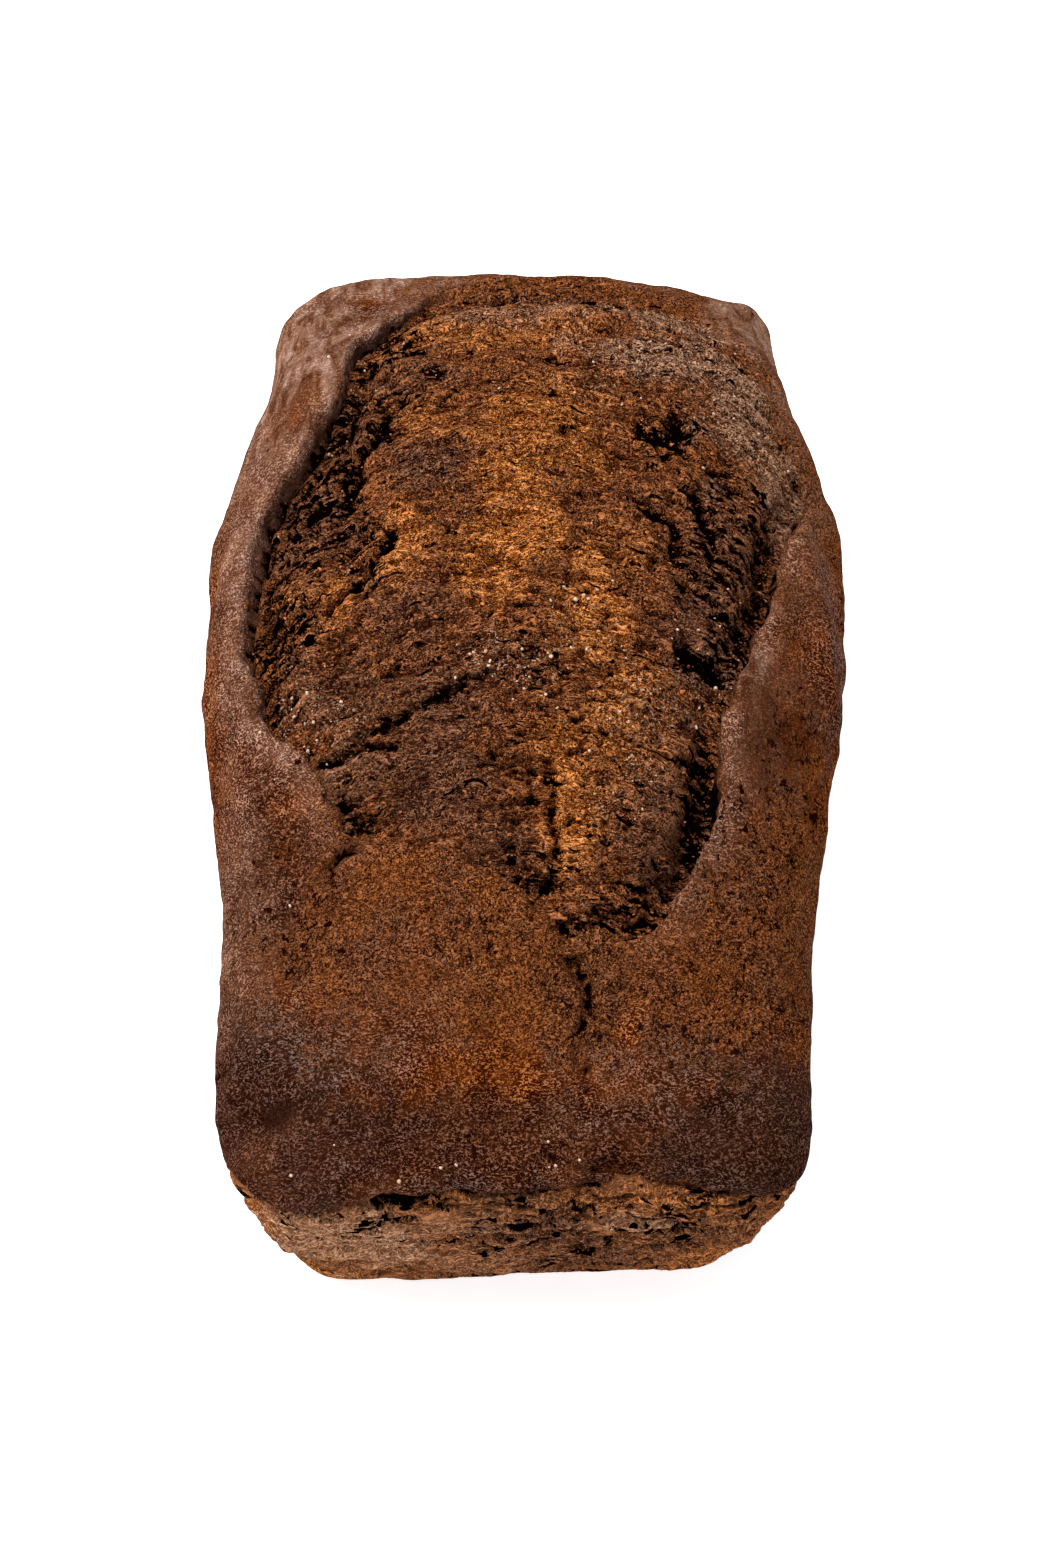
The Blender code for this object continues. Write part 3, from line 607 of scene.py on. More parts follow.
def zone_share(points, zones):
    """How strongly each point lies in soft oval zones, with edges that wander."""
    wander = 1.0 + ZONE_WANDER * noise_at(points, ZONE_WANDER_SIZE, 21, 3)
    share = np.zeros(len(points))
    for (x, y), (radius_x, radius_y), strength in zones:
        far = np.hypot((points[:, 0] / MM - x) / radius_x, (points[:, 1] / MM - y) / radius_y) * wander
        share = np.maximum(share, strength * (1.0 - eased(far, ZONE_CORE, ZONE_FADE)))
    return share


# ---- The loaf's form


def spread(t, half, edge_share):
    """Places the grid's t, -1 to 1, over a half width so that the round edge gets even steps of angle."""
    flat = np.abs(t) / (1.0 - edge_share) * (half - TOP_EDGE_RADIUS)
    angle = (np.abs(t) - (1.0 - edge_share)) / edge_share * np.pi / 2
    arc = half - TOP_EDGE_RADIUS + TOP_EDGE_RADIUS * np.sin(np.clip(angle, 0.0, np.pi / 2))
    return np.sign(t) * np.where(np.abs(t) < 1.0 - edge_share, flat, arc)


def plan_of(tin, x, y, height):
    """Rounds the rectangle's corners, most at height 1. Also gives each point's inset from the rim."""
    half_x, half_y = tin.rim_width / 2, tin.rim_length / 2
    sides, ends = np.where(x < 0, -1.0, 1.0), np.where(y < 0, -1.0, 1.0)
    radius = np.zeros(len(x))
    for (side, end), value in CORNER_RADIUS.items():
        radius[(sides == side) & (ends == end)] = value
    radius = radius * np.interp(height, (0.0, 0.5, 1.0), (BASE_CORNER_SHARE, MIDDLE_CORNER_SHARE, 1.0))
    x, y = np.abs(x), np.abs(y)
    over_x, over_y = x - (half_x - radius), y - (half_y - radius)
    corner = (over_x > 0) & (over_y > 0)
    pull = np.maximum(over_x, over_y) / np.maximum(np.hypot(over_x, over_y), 1e-12)
    x = np.where(corner, half_x - radius + over_x * pull, x)
    y = np.where(corner, half_y - radius + over_y * pull, y)
    inset = np.where(
        corner, radius - np.hypot(over_x * pull, over_y * pull), np.minimum(half_x - x, half_y - y)
    )
    return sides * x, ends * y, inset


def tin_form(tin, x, y, w, on_top):
    """The box that the tin gives: a tapered body with round corners and a round top edge."""
    wall_top = tin.rim_height - TOP_EDGE_RADIUS
    wall_z = wall_top * (1.0 + np.sin(np.pi / 2 * w)) / 2
    x, y, inset = plan_of(tin, x, y, wall_z / wall_top)
    drop = TOP_EDGE_RADIUS - np.clip(inset, 0.0, TOP_EDGE_RADIUS)
    z = np.where(on_top, wall_top + np.sqrt(TOP_EDGE_RADIUS**2 - drop**2), wall_z)
    foot = BASE_EDGE_RADIUS - np.clip(z, 0.0, BASE_EDGE_RADIUS)
    foot_inset = BASE_EDGE_RADIUS - np.sqrt(BASE_EDGE_RADIUS**2 - foot**2)
    up = np.clip(z / (tin.rim_height - LEAN_TOP * TOP_EDGE_RADIUS), 0.0, 1.0)
    lean = tin.wall_lean * (1.0 - up) ** LEAN_BEND + foot_inset
    x = x * (1.0 - lean / (tin.rim_width / 2))
    y = y * (1.0 - lean / (tin.rim_length / 2))
    end_share = y / (tin.rim_length / 2)
    far_narrowing = np.where(x < 0, FAR_END_NARROWING[-1], FAR_END_NARROWING[1])
    near_narrowing = np.where(x < 0, NEAR_END_NARROWING[-1], NEAR_END_NARROWING[1])
    narrowing = far_narrowing * eased(end_share, FAR_END_START, FAR_END_RUN)
    narrowing = narrowing + near_narrowing * eased(-end_share, NEAR_END_START, NEAR_END_RUN)
    x = x * (1.0 - narrowing / (tin.rim_width / 2))
    return x, y, z


def rise_form(tin, x, y, z):
    """Lets the tin's box rise: the long sides swell over the rim and the top domes."""
    side_share = np.clip(np.abs(x) / (tin.rim_width / 2), 0.0, 1.0)
    high = eased(z, SWELL_LOW_Z, SWELL_HIGH_Z - SWELL_LOW_Z)
    for side, (width, near_y, near_run, far_y, far_run) in SWELL.items():
        along = eased(y, near_y, near_run) * smooth((far_y - y) / far_run)
        x = np.where(np.sign(x) == side, x + side * width * along * high * side_share**2, x)
    along = eased(y, DOME_NEAR_Y, DOME_NEAR_RUN) * smooth((DOME_FAR_Y - y) / DOME_FAR_RUN)
    across = np.clip(np.abs(x) / DOME_HALF_WIDTH, 0.0, 1.0)
    end_share = np.clip(np.abs(y) / (tin.rim_length / 2), 0.0, 1.0)
    dome = tin.dome_height * along * (1.0 - across**DOME_SHOULDER) ** DOME_FULLNESS
    dome = dome + CROWN * (1.0 - across**2) * (1.0 - end_share**4)
    lift = np.clip((z - LIFT_FROM_Z) / (tin.rim_height - LIFT_FROM_Z), 0.0, 1.0)
    dome = dome - CORNER_DROP * eased(x, *CORNER_DROP_X) * eased(y, *CORNER_DROP_Y)
    y = y + BASE_SKEW * x / (tin.rim_width / 2) * np.clip(1.0 - z / tin.rim_height, 0.0, 1.0) * (y < 0)
    z = z + lift * (dome + RIM_LIFT * along * eased(z, LIFT_FROM_Z, LIFT_FROM_Z))
    return x, y, z


def loaf_form(tin, x, y, w, on_top):
    """Points on the risen loaf, and how far each belongs to the top: 0 on the walls, 1 past the edge."""
    x, y, z = tin_form(tin, x, y, w, on_top)
    return np.stack(rise_form(tin, x, y, z), axis=1), eased(z, TOP_FROM_Z, TOP_BLEND)


# ---- The tears


def burst_depth(points):
    """How far inside the burst's lip each point lies, and how deep the crevice is there."""
    lip = curve_through(LIP, True, LIP_STEPS) * MM
    gap, gape = nearest_on_line(points[:, 0], points[:, 1], lip, closed=True)
    depth = np.where(is_inside(points[:, 0], points[:, 1], lip), gap, -gap)
    depth = depth + LIP_RAGGEDNESS * noise_at(points, RAG_SIZE, 1)
    gape = gape[:, 0] * (1.0 + GAPE_UNEVENNESS * noise_at(points, GAPE_WAVES, 12, 2))
    return depth, gape


def end_depth(tin, points):
    """Depth of each point below the near end's torn rim, the crevice's depth and the nearness to that end."""
    line = np.array(RIM_LINE, float) * MM
    rim_z = np.interp(points[:, 0], line[:, 0], line[:, 1])
    depth = rim_z + RIM_RAGGEDNESS * noise_at(points, RIM_RAG_SIZE, 7, 2) - points[:, 2]
    gapes = np.array(RIM_GAPE, float) * MM
    gape = np.interp(points[:, 0], gapes[:, 0], gapes[:, 1])
    return depth, gape, smooth((FACE_START - tin.rim_length / 2 - points[:, 1]) / FACE_RUN)


def hardness(gape):
    """How sharply the crust breaks at a lip: 1 over a deep crevice, 0 where it thins out."""
    return eased(gape, SOFT_GAPE, HARD_GAPE - SOFT_GAPE)


def section_under_lip(depth, gape, hollow):
    """The crust's section across a torn lip: how low its surface lies, and its reach under the crust."""
    hard = hardness(gape)
    nose = CRUST_THICKNESS * eased(depth, NOSE_START, NOSE_RUN)
    drop = (hollow - CRUST_THICKNESS) * eased(depth, DROP_START, DROP_RUN)
    soft = hollow * eased(depth, SOFT_START, SOFT_RUN)
    out = eased(depth, UNDERCUT_START, UNDERCUT_RUN) * (1.0 - eased(depth, RETURN_START, RETURN_RUN))
    return hard * (nose + drop) + (1.0 - hard) * soft, hard * UNDERCUT * out


def slope_of(depth_at, points):
    """How fast a depth grows along x and y."""
    step = 0.2 * MM
    here = depth_at(points)
    along_x = (depth_at(points + np.array((step, 0.0, 0.0))) - here) / step
    along_y = (depth_at(points + np.array((0.0, step, 0.0))) - here) / step
    return np.stack((along_x, along_y, np.zeros(len(points))), axis=1)


def along_surface(directions, normals):
    """The directions with what points out of the surface taken off, each at length 1."""
    flat = directions - normals * np.sum(directions * normals, axis=1)[:, None]
    return flat / np.maximum(np.linalg.norm(flat, axis=1), 1e-9)[:, None]


# ---- Relief


def fibre_places(points):
    """Coordinates in which the crumb's bowed fibres are as wide as they are long."""
    x = points[:, 0] - FIBRE_CENTRE_X
    bowed = points[:, 1] + FIBRE_ARC * x**2
    return np.stack((x / FIBRE_STRETCH, bowed, points[:, 2] * FIBRE_LAYERS), axis=1)


def torn_share(depth, soft):
    """How far the surface is torn crumb: at once inside a sharp lip, slowly where the crust thins out."""
    inside = depth + TORN_RUN * TORN_LEAD + SOFT_TORN_RUN * SOFT_TORN_LEAD * soft
    return smooth(inside / (TORN_RUN + SOFT_TORN_RUN * soft))


def crumb_relief(points):
    """Height of the torn crumb: lumps, bowed fibres and pits."""
    places = fibre_places(points)
    height = CRUMB_LUMPS * noise_at(points, LUMP_SIZE, 2, 2)
    height = height + FIBRE_RIDGES * noise_at(places, FIBRE_PITCH, 3, 2)
    pits = eased(noise_at(places, PIT_PITCH, 4, 2), PIT_LEVEL, PIT_EDGE)
    seams = 1.0 - smooth(cells_at(places, SEAM_SIZE, 5)[1] / SEAM_WIDTH)
    return height - PITS * pits - SEAM_SHARE * PITS * seams


def fine_crumb(points, places, pitted):
    """Height of the crumb's strands and grains on its larger relief, and the depth of its pores and rifts."""
    strands = STRANDS * noise_at(places, STRAND_PITCH, 13)
    grains = GRAINS * (GRAIN_LEVEL - cells_at(points, GRAIN_SIZE, 14)[0])
    level = PORE_LEVEL + (PITTED_LEVEL - PORE_LEVEL) * pitted
    pores = eased(noise_at(places * PORE_SHAPE, PORE_PITCH, 15, 3), level, PORE_EDGE)
    pores = PORES * (1.0 + PITTED_DEPTH * pitted) * pores
    patches = smooth(noise_at(points, RIFT_PATCH, 19, 2) * RIFT_CONTRAST + RIFT_LEVEL)
    patches = np.maximum(patches, pitted)
    rifts = RIFTS * patches * (1.0 - smooth(cells_at(places, RIFT_CELL, 20)[1] / RIFT_WIDTH))
    return strands + grains, pores + rifts


def crack_relief(points):
    """Depth of the named cracks and holes in the top."""
    ragged = 1.0 + CRACK_UNEVENNESS * noise_at(points, CRACK_RAG_SIZE, 6, 2)
    x = points[:, 0] + WARP * noise_at(points, WARP_SIZE, 23)
    y = points[:, 1] + WARP * noise_at(points, WARP_SIZE, 24)
    depth = np.zeros(len(points))
    for line, half_width, deep in CRACKS.values():
        gap, _ = nearest_on_line(x, y, np.array(line, float) * MM)
        share = 1.0 - smooth(gap / (half_width * MM * CRACK_SOFTNESS) * ragged)
        depth = np.maximum(depth, deep * MM * share)
    return depth


def swelling_relief(points):
    """Height of the smooth bosses, cheeks and hollows of the crust, and of the fold on the right."""
    height = np.zeros(len(points))
    for (x, y), (radius_x, radius_y), rise in SWELLINGS.values():
        far = np.hypot((points[:, 0] / MM - x) / radius_x, (points[:, 1] / MM - y) / radius_y)
        height = height + rise * MM * (1.0 - smooth(far / SWELLING_SOFTNESS))
    line, half_width, rise = FOLD
    gap, _ = nearest_on_line(points[:, 0], points[:, 1], np.array(line, float) * MM)
    return height + rise * MM * (1.0 - smooth(gap / (half_width * MM * FOLD_SOFTNESS)))


def crust_relief(points):
    """The crust's long waves, the slight unevenness of the baked walls and the fine folds of its skin."""
    waves = CRUST_WAVES * noise_at(points, WAVE_SIZE, 10, 2)
    fine = LEATHER * noise_at(points, LEATHER_SIZE, 16, 2)
    pits = CRUST_PITS * eased(noise_at(points, CRUST_PIT_SIZE, 17, 2), CRUST_PIT_LEVEL, CRUST_PIT_EDGE)
    walls = WALL_WAVES * noise_at(points, WALL_WAVE_SIZE, 11)
    return smooth(points[:, 2] / CALM_FOOT) * (waves + walls + fine - pits)


def flake_relief(points):
    """Height of the near end's flaky layers."""
    layers = points * np.array(FLAKE_STRETCH)
    seams = 1.0 - smooth(cells_at(layers, FLAKE_CELL, 9)[1] / SEAM_WIDTH)
    return FLAKES * (noise_at(layers, FLAKE_SIZE, 8) - seams)


# ---- Modelling helpers


def deselect_all():
    """Leaves edit mode and selects nothing."""
    if bpy.context.object and bpy.context.object.mode != "OBJECT":
        bpy.ops.object.mode_set(mode="OBJECT")
    bpy.ops.object.select_all(action="DESELECT")


def select_in(piece, part, chosen):
    """Opens a piece in edit mode with the chosen vertices, edges or faces selected."""
    modes = {"vertices": "VERT", "edges": "EDGE", "polygons": "FACE"}
    bpy.ops.object.mode_set(mode="EDIT")
    bpy.ops.mesh.select_mode(type=modes[part])
    bpy.ops.mesh.select_all(action="DESELECT")
    bpy.ops.object.mode_set(mode="OBJECT")
    getattr(piece.data, part).foreach_set("select", chosen)
    bpy.ops.object.mode_set(mode="EDIT")


def vertices_of(piece):
    """A piece's vertices as an array of points."""
    found = np.empty(len(piece.data.vertices) * 3, np.float32)
    piece.data.vertices.foreach_get("co", found)
    return found.reshape(-1, 3).astype(float)


def normals_of(piece):
    """A piece's vertex normals as an array."""
    found = np.empty(len(piece.data.vertices) * 3, np.float32)
    piece.data.vertices.foreach_get("normal", found)
    return found.reshape(-1, 3).astype(float)


def place_vertices(piece, points):
    """Moves a piece's vertices to the points."""
    piece.data.vertices.foreach_set("co", points.astype(np.float32).ravel())
    piece.data.update()


def store(piece, values):
    """Keeps numbers or vectors for each vertex, by name, for the materials to read."""
    for name, value in values.items():
        value = np.asarray(value, np.float32)
        kind, field = ("FLOAT_VECTOR", "vector") if value.ndim == 2 else ("FLOAT", "value")
        layer = piece.data.attributes.new(name, kind, "POINT")
        layer.data.foreach_set(field, value.ravel())


def finish_piece(piece, name, material):
    """Names a piece, turns its faces outwards, shades it smooth and lets it ride on the loaf's body."""
    deselect_all()
    bpy.context.view_layer.objects.active = piece
    piece.select_set(True)
    bpy.ops.object.mode_set(mode="EDIT")
    bpy.ops.mesh.select_all(action="SELECT")
    bpy.ops.mesh.normals_make_consistent(inside=False)
    bpy.ops.object.mode_set(mode="OBJECT")
    bpy.ops.object.shade_smooth()
    piece.name = name
    piece.data.name = name
    piece.data.materials.append(material)
    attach(piece, BODY)


def add_grid(columns, rows):
    """A flat grid from -1 to 1 with that many faces across and along."""
    deselect_all()
    bpy.ops.mesh.primitive_grid_add(x_subdivisions=columns, y_subdivisions=rows, size=2.0)
    return bpy.context.object


def close_plug(piece, move, taper, middle_y):
    """Draws a plug's open edge under the crust, tapers it about its middle and closes it."""
    deselect_all()
    bpy.context.view_layer.objects.active = piece
    piece.select_set(True)
    bpy.ops.object.mode_set(mode="EDIT")
    bpy.ops.mesh.select_mode(type="EDGE")
    bpy.ops.mesh.select_all(action="DESELECT")
    bpy.ops.mesh.select_non_manifold()
    bpy.ops.mesh.extrude_region_move(TRANSFORM_OT_translate={"value": move})
    bpy.ops.transform.resize(value=taper, center_override=(0.0, middle_y, 0.0))
    bpy.ops.mesh.edge_face_add()
    bpy.ops.object.mode_set(mode="OBJECT")


def blurred(field, reach):
    """A grid of values, each averaged with its neighbours up to reach away, twice over."""
    for _ in range(2):
        for axis in (0, 1):
            margins = [(reach + 1, reach) if k == axis else (0, 0) for k in (0, 1)]
            sums = np.cumsum(np.pad(field, margins, mode="edge"), axis=axis)
            ahead, behind = [slice(None)] * 2, [slice(None)] * 2
            ahead[axis], behind[axis] = slice(2 * reach + 1, None), slice(None, -2 * reach - 1)
            field = (sums[tuple(ahead)] - sums[tuple(behind)]) / (2 * reach + 1)
    return field


def cavities(height, kept, shape, reach):
    """How far each kept point of a grid lies below its neighbourhood."""
    field, weight = np.zeros(kept.shape), kept.astype(float)
    field[kept] = height
    level = blurred(field.reshape(shape), reach) / np.maximum(blurred(weight.reshape(shape), reach), 1e-6)
    return level.ravel()[kept] - height


# ---- Materials


def new_node(tree, kind, inputs=(), **settings):
    """Adds a node with its settings, and sets or links its inputs."""
    node = tree.nodes.new(kind)
    for name, value in settings.items():
        setattr(node, name, value)
    for socket, value in dict(inputs).items():
        if isinstance(value, bpy.types.NodeSocket):
            tree.links.new(value, node.inputs[socket])
        else:
            node.inputs[socket].default_value = value
    return node


def in_range(tree, value, low, high, to_low=0.0, to_high=1.0):
    """A value's place between low and high, eased and clamped."""
    inputs = {"Value": value, "From Min": low, "From Max": high, "To Min": to_low, "To Max": to_high}
    return new_node(tree, "ShaderNodeMapRange", inputs, interpolation_type="SMOOTHSTEP").outputs[0]


def worked_out(tree, operation, a, b):
    """One arithmetic step."""
    return new_node(tree, "ShaderNodeMath", {0: a, 1: b}, operation=operation).outputs[0]


def plus(tree, a, b):
    """a and b together."""
    return worked_out(tree, "ADD", a, b)


def minus(tree, a, b):
    """What is left of a without b."""
    return worked_out(tree, "SUBTRACT", a, b)


def times(tree, a, b):
    """a, b times over."""
    return worked_out(tree, "MULTIPLY", a, b)


def larger(tree, a, b):
    """The larger of a and b."""
    return worked_out(tree, "MAXIMUM", a, b)


def blend_colour(tree, share, a, b, kind="MIX"):
    """Colour a going over to colour b."""
    node = new_node(tree, "ShaderNodeMix", {0: share}, data_type="RGBA", blend_type=kind)
    for socket, value in ((node.inputs[6], a), (node.inputs[7], b)):
        if isinstance(value, bpy.types.NodeSocket):
            tree.links.new(value, socket)
        else:
            socket.default_value = (*value, 1.0)
    return node.outputs[2]


def stretched(tree, place, share):
    """Places in which a pattern is drawn out where the share is small."""
    return new_node(tree, "ShaderNodeMapping", {"Vector": place, "Scale": share}).outputs[0]


def noise_node(tree, vector, size, detail=3.0, roughness=0.55, distortion=0.0):
    """Noise whose largest waves are about size long."""
    inputs = {"Vector": vector, "Scale": 1.0 / size, "Detail": detail}
    inputs.update({"Roughness": roughness, "Distortion": distortion})
    return new_node(tree, "ShaderNodeTexNoise", inputs).outputs[0]


def off_middle(tree, field):
    """How far a noise is from its middle: nought along thin wandering lines."""
    return worked_out(tree, "ABSOLUTE", minus(tree, field, 0.5), 0.0)


def thin_lines(tree, vector, size, width, detail, distortion):
    """Thin curling lines, which wander about size apart."""
    field = noise_node(tree, vector, size, detail, 0.5, distortion)
    return in_range(tree, off_middle(tree, field), width, 0.0)


def bent(tree, place, moved, size, reach):
    """Moves places by up to half a reach, in waves of a size, so that what is drawn in them wanders."""
    waves = {"Vector": place, "Scale": 1.0 / size, "Detail": 1.0}
    waves = new_node(tree, "ShaderNodeTexNoise", waves).outputs["Color"]
    for operation, inputs in (("SUBTRACT", {1: (0.5, 0.5, 0.5)}), ("SCALE", {3: reach}), ("ADD", {1: moved})):
        waves = new_node(tree, "ShaderNodeVectorMath", {0: waves, **inputs}, operation=operation).outputs[0]
    return waves


def attribute(tree, name, output="Fac"):
    """A value kept on the mesh."""
    return new_node(tree, "ShaderNodeAttribute", attribute_name=name).outputs[output]


def make_group(name, inputs, outputs):
    """An empty shader node group with named sockets. Its outputs are numbers."""
    group = bpy.data.node_groups.new(name, "ShaderNodeTree")
    for socket, kind in inputs.items():
        group.interface.new_socket(socket, in_out="INPUT", socket_type=kind)
    for socket in outputs:
        group.interface.new_socket(socket, in_out="OUTPUT", socket_type="NodeSocketFloat")
    return group, group.nodes.new("NodeGroupInput"), group.nodes.new("NodeGroupOutput")


def baked_skin_group():
    """The crust's grain: a pebbled skin, the specks on it, its pits and short wandering cracks."""
    inputs = {"Vector": "NodeSocketVector", "Pitted": "NodeSocketFloat"}
    group, start, end = make_group("baked skin", inputs, ("Height", "Specks", "Pits", "Mottle"))
    place, pitted = start.outputs["Vector"], start.outputs["Pitted"]
    strokes = stretched(group, bent(group, place, place, *STROKE_BEND), STROKE_SHARE)
    pebbles = noise_node(group, strokes, PEBBLE_SIZE, 0.0, 0.5, 0.4)
    finest = noise_node(group, place, FINEST_SIZE, 0.0)
    wrinkles = thin_lines(group, strokes, WRINKLE_SIZE, WRINKLE_WIDTH, 0.0, 0.8)
    pebbles = plus(group, times(group, pebbles, PEBBLE_WEIGHT), times(group, finest, FINEST_WEIGHT))
    tone = plus(group, pebbles, times(group, wrinkles, WRINKLE_WEIGHT))
    folds = noise_node(group, place, SKIN_FOLD_SIZE, 3.0, 0.5, 0.4)
    crowds = noise_node(group, place, PIT_CROWD_SIZE, 2.0, 0.5)
    crowds = in_range(group, plus(group, crowds, times(group, pitted, PITTED_CROWDS)), *PIT_CROWD_RANGE)
    pits = plus(group, noise_node(group, place, SKIN_PIT_SIZE), times(group, pitted, PITTED_PITS))
    pits = times(group, in_range(group, pits, *SKIN_PIT_RANGE), crowds)
    along = stretched(group, place, SKIN_CRACK_SHARE)
    cracks = off_middle(group, noise_node(group, along, SKIN_CRACK_SIZE, 3.0, 0.6))
    broken = in_range(group, noise_node(group, place, SKIN_CRACK_SIZE, 2.0, 0.5), *SKIN_CRACK_BREAKS)
    cracks = times(group, in_range(group, cracks, *SKIN_CRACK_WIDTH), broken)
    cracks = times(group, cracks, in_range(group, pitted, *SKIN_CRACK_ZONES))
    pits = larger(group, pits, cracks)
    height = plus(group, pebbles, times(group, folds, SKIN_FOLD_WEIGHT))
    mottle = noise_node(group, place, MOTTLE_SIZE, 5.0, 0.6)
    group.links.new(minus(group, height, times(group, pits, SKIN_PIT_DEPTH)), end.inputs["Height"])
    group.links.new(in_range(group, tone, *SPECK_RANGE), end.inputs["Specks"])
    group.links.new(pits, end.inputs["Pits"])
    group.links.new(in_range(group, mottle, *MOTTLE_RANGE), end.inputs["Mottle"])
    return group


def torn_crumb_group():
    """The torn crumb's grain: strands along its fibres, the grains between them, and its light and dark,
    which follow its height and cavities: lighter strands with a painted highlight on the ridges, and painted
    shade in the gaps.
    """
    inputs = {"Vector": "NodeSocketVector", "Fibres": "NodeSocketVector"}
    inputs.update({"Cavity": "NodeSocketFloat", "Pitted": "NodeSocketFloat"})
    group, start, end = make_group("torn crumb", inputs, ("Height", "Light", "Gaps", "Pits"))
    place = start.outputs["Vector"]
    fibres = bent(group, place, start.outputs["Fibres"], *CRUMB_BEND)
    strands = noise_node(group, fibres, FINE_STRAND_SIZE, 2.0, 0.6, 0.5)
    grains = noise_node(group, place, FINE_GRAIN_SIZE, 2.0, 0.6, 0.5)
    curls = thin_lines(group, place, *CURLS[0])
    for curl in CURLS[1:]:
        curls = larger(group, curls, thin_lines(group, fibres, *curl))
    height = plus(group, times(group, strands, FINE_STRAND_WEIGHT), times(group, grains, FINE_GRAIN_WEIGHT))
    height = plus(group, height, times(group, curls, CURL_WEIGHT))
    holes = noise_node(group, fibres, HOLE_SIZE, 3.0, 0.55, 0.3)
    holes = plus(group, holes, times(group, start.outputs["Pitted"], PITTED_HOLES))
    holes = in_range(group, holes, *HOLE_RANGE)
    # The tone falls in cavities, so the gaps get painted shade and the ridges a painted highlight
    tone = minus(group, height, times(group, start.outputs["Cavity"], CAVITY_WEIGHT))
    group.links.new(minus(group, height, holes), end.inputs["Height"])
    group.links.new(in_range(group, tone, *LIGHT_RANGE), end.inputs["Light"])
    group.links.new(in_range(group, tone, *GAP_RANGE), end.inputs["Gaps"])
    group.links.new(holes, end.inputs["Pits"])
    return group


def place_group(tree, maker, name, inputs):
    """Places a shared node group, which is made the first time that it is asked for."""
    group = bpy.data.node_groups.get(name) or maker()
    return new_node(tree, "ShaderNodeGroup", inputs, node_tree=group).outputs


def new_material(name):
    """A material with its shader, its node tree and the object's own coordinates."""
    material = bpy.data.materials.new(name)
    material.use_nodes = True
    tree = material.node_tree
    place = new_node(tree, "ShaderNodeTexCoord").outputs["Object"]
    return material, tree, tree.nodes["Principled BSDF"], place


def finish_shader(tree, shader, links, values):
    """Links what changes over the surface to the shader, and sets what doesn't."""
    for socket, value in links.items():
        tree.links.new(value, shader.inputs[socket])
    for socket, value in values.items():
        shader.inputs[socket].default_value = value


def bumped(tree, height, distance):
    """The normal of a surface with a fine relief."""
    inputs = {"Height": height, "Strength": 1.0, "Distance": distance}
    return new_node(tree, "ShaderNodeBump", inputs).outputs[0]


def crust_colour(tree, place, look, mottle, streaks):
    """The crust's broad colours: browned, warm or pale, streaked where its skin is drawn, and blotched. The
    streaks get a painted shade in their grooves and a painted sheen on their ridges, and the dark zones are
    partly painted shade.
    """
    pale, drawn = attribute(tree, "pale"), attribute(tree, "calm")
    colour = blend_colour(tree, mottle, look.crust, look.crust_dusky)
    colour = blend_colour(tree, attribute(tree, "warm"), colour, look.crust_warm)
    colour = blend_colour(tree, pale, colour, look.crust_pale)
    grooves = times(tree, in_range(tree, streaks, *STREAK_GROOVES), drawn)
    colour = blend_colour(tree, grooves, colour, look.crust_groove_shade)
    ridges = times(tree, in_range(tree, streaks, *STREAK_RIDGES), times(tree, drawn, pale))
    colour = blend_colour(tree, ridges, colour, look.crust_ridge_sheen)
    colour = blend_colour(tree, attribute(tree, "bake_and_shade"), colour, look.crust_dark)
    blotches = noise_node(tree, place, BLOTCH_SIZE, 4.0, 0.62, 0.6)
    deeper = blend_colour(tree, 1.0, colour, DEEPER, "MULTIPLY")
    brighter = blend_colour(tree, 1.0, colour, BRIGHTER, "MULTIPLY")
    colour = blend_colour(tree, in_range(tree, blotches, *BLOTCHES_DEEP), colour, deeper)
    return blend_colour(tree, in_range(tree, blotches, *BLOTCHES_BRIGHT), colour, brighter)


def speckled(tree, place, look, colour, specks):
    """Fine specks, darker and lighter than the crust, few where it is calm. The lighter ones are partly a
    painted glint, turned grey-pink where the crust is dark and in the sheen zones.
    """
    darker = blend_colour(tree, 1.0, colour, SPECK_DARKER, "MULTIPLY")
    lighter = blend_colour(tree, 1.0, colour, SPECK_LIGHTER, "MULTIPLY")
    glint_share = in_range(tree, attribute(tree, "bake_and_shade"), *GLINT_OF_BAKE)
    glint_share = plus(tree, glint_share, times(tree, attribute(tree, "sheen"), GLINT_OF_SHEEN))
    lighter = blend_colour(tree, glint_share, lighter, look.crust_painted_glint)
    rough = in_range(tree, noise_node(tree, place, ROUGH_SIZE, 3.0, 0.6), *ROUGH_RANGE)
    rough = times(tree, minus(tree, 1.0, times(tree, attribute(tree, "calm"), CALM_SPECKS)), rough)
    colour = blend_colour(tree, times(tree, in_range(tree, specks, *SPECKS_DARK), rough), colour, darker)
    return blend_colour(tree, times(tree, in_range(tree, specks, *SPECKS_LIGHT), rough), colour, lighter)


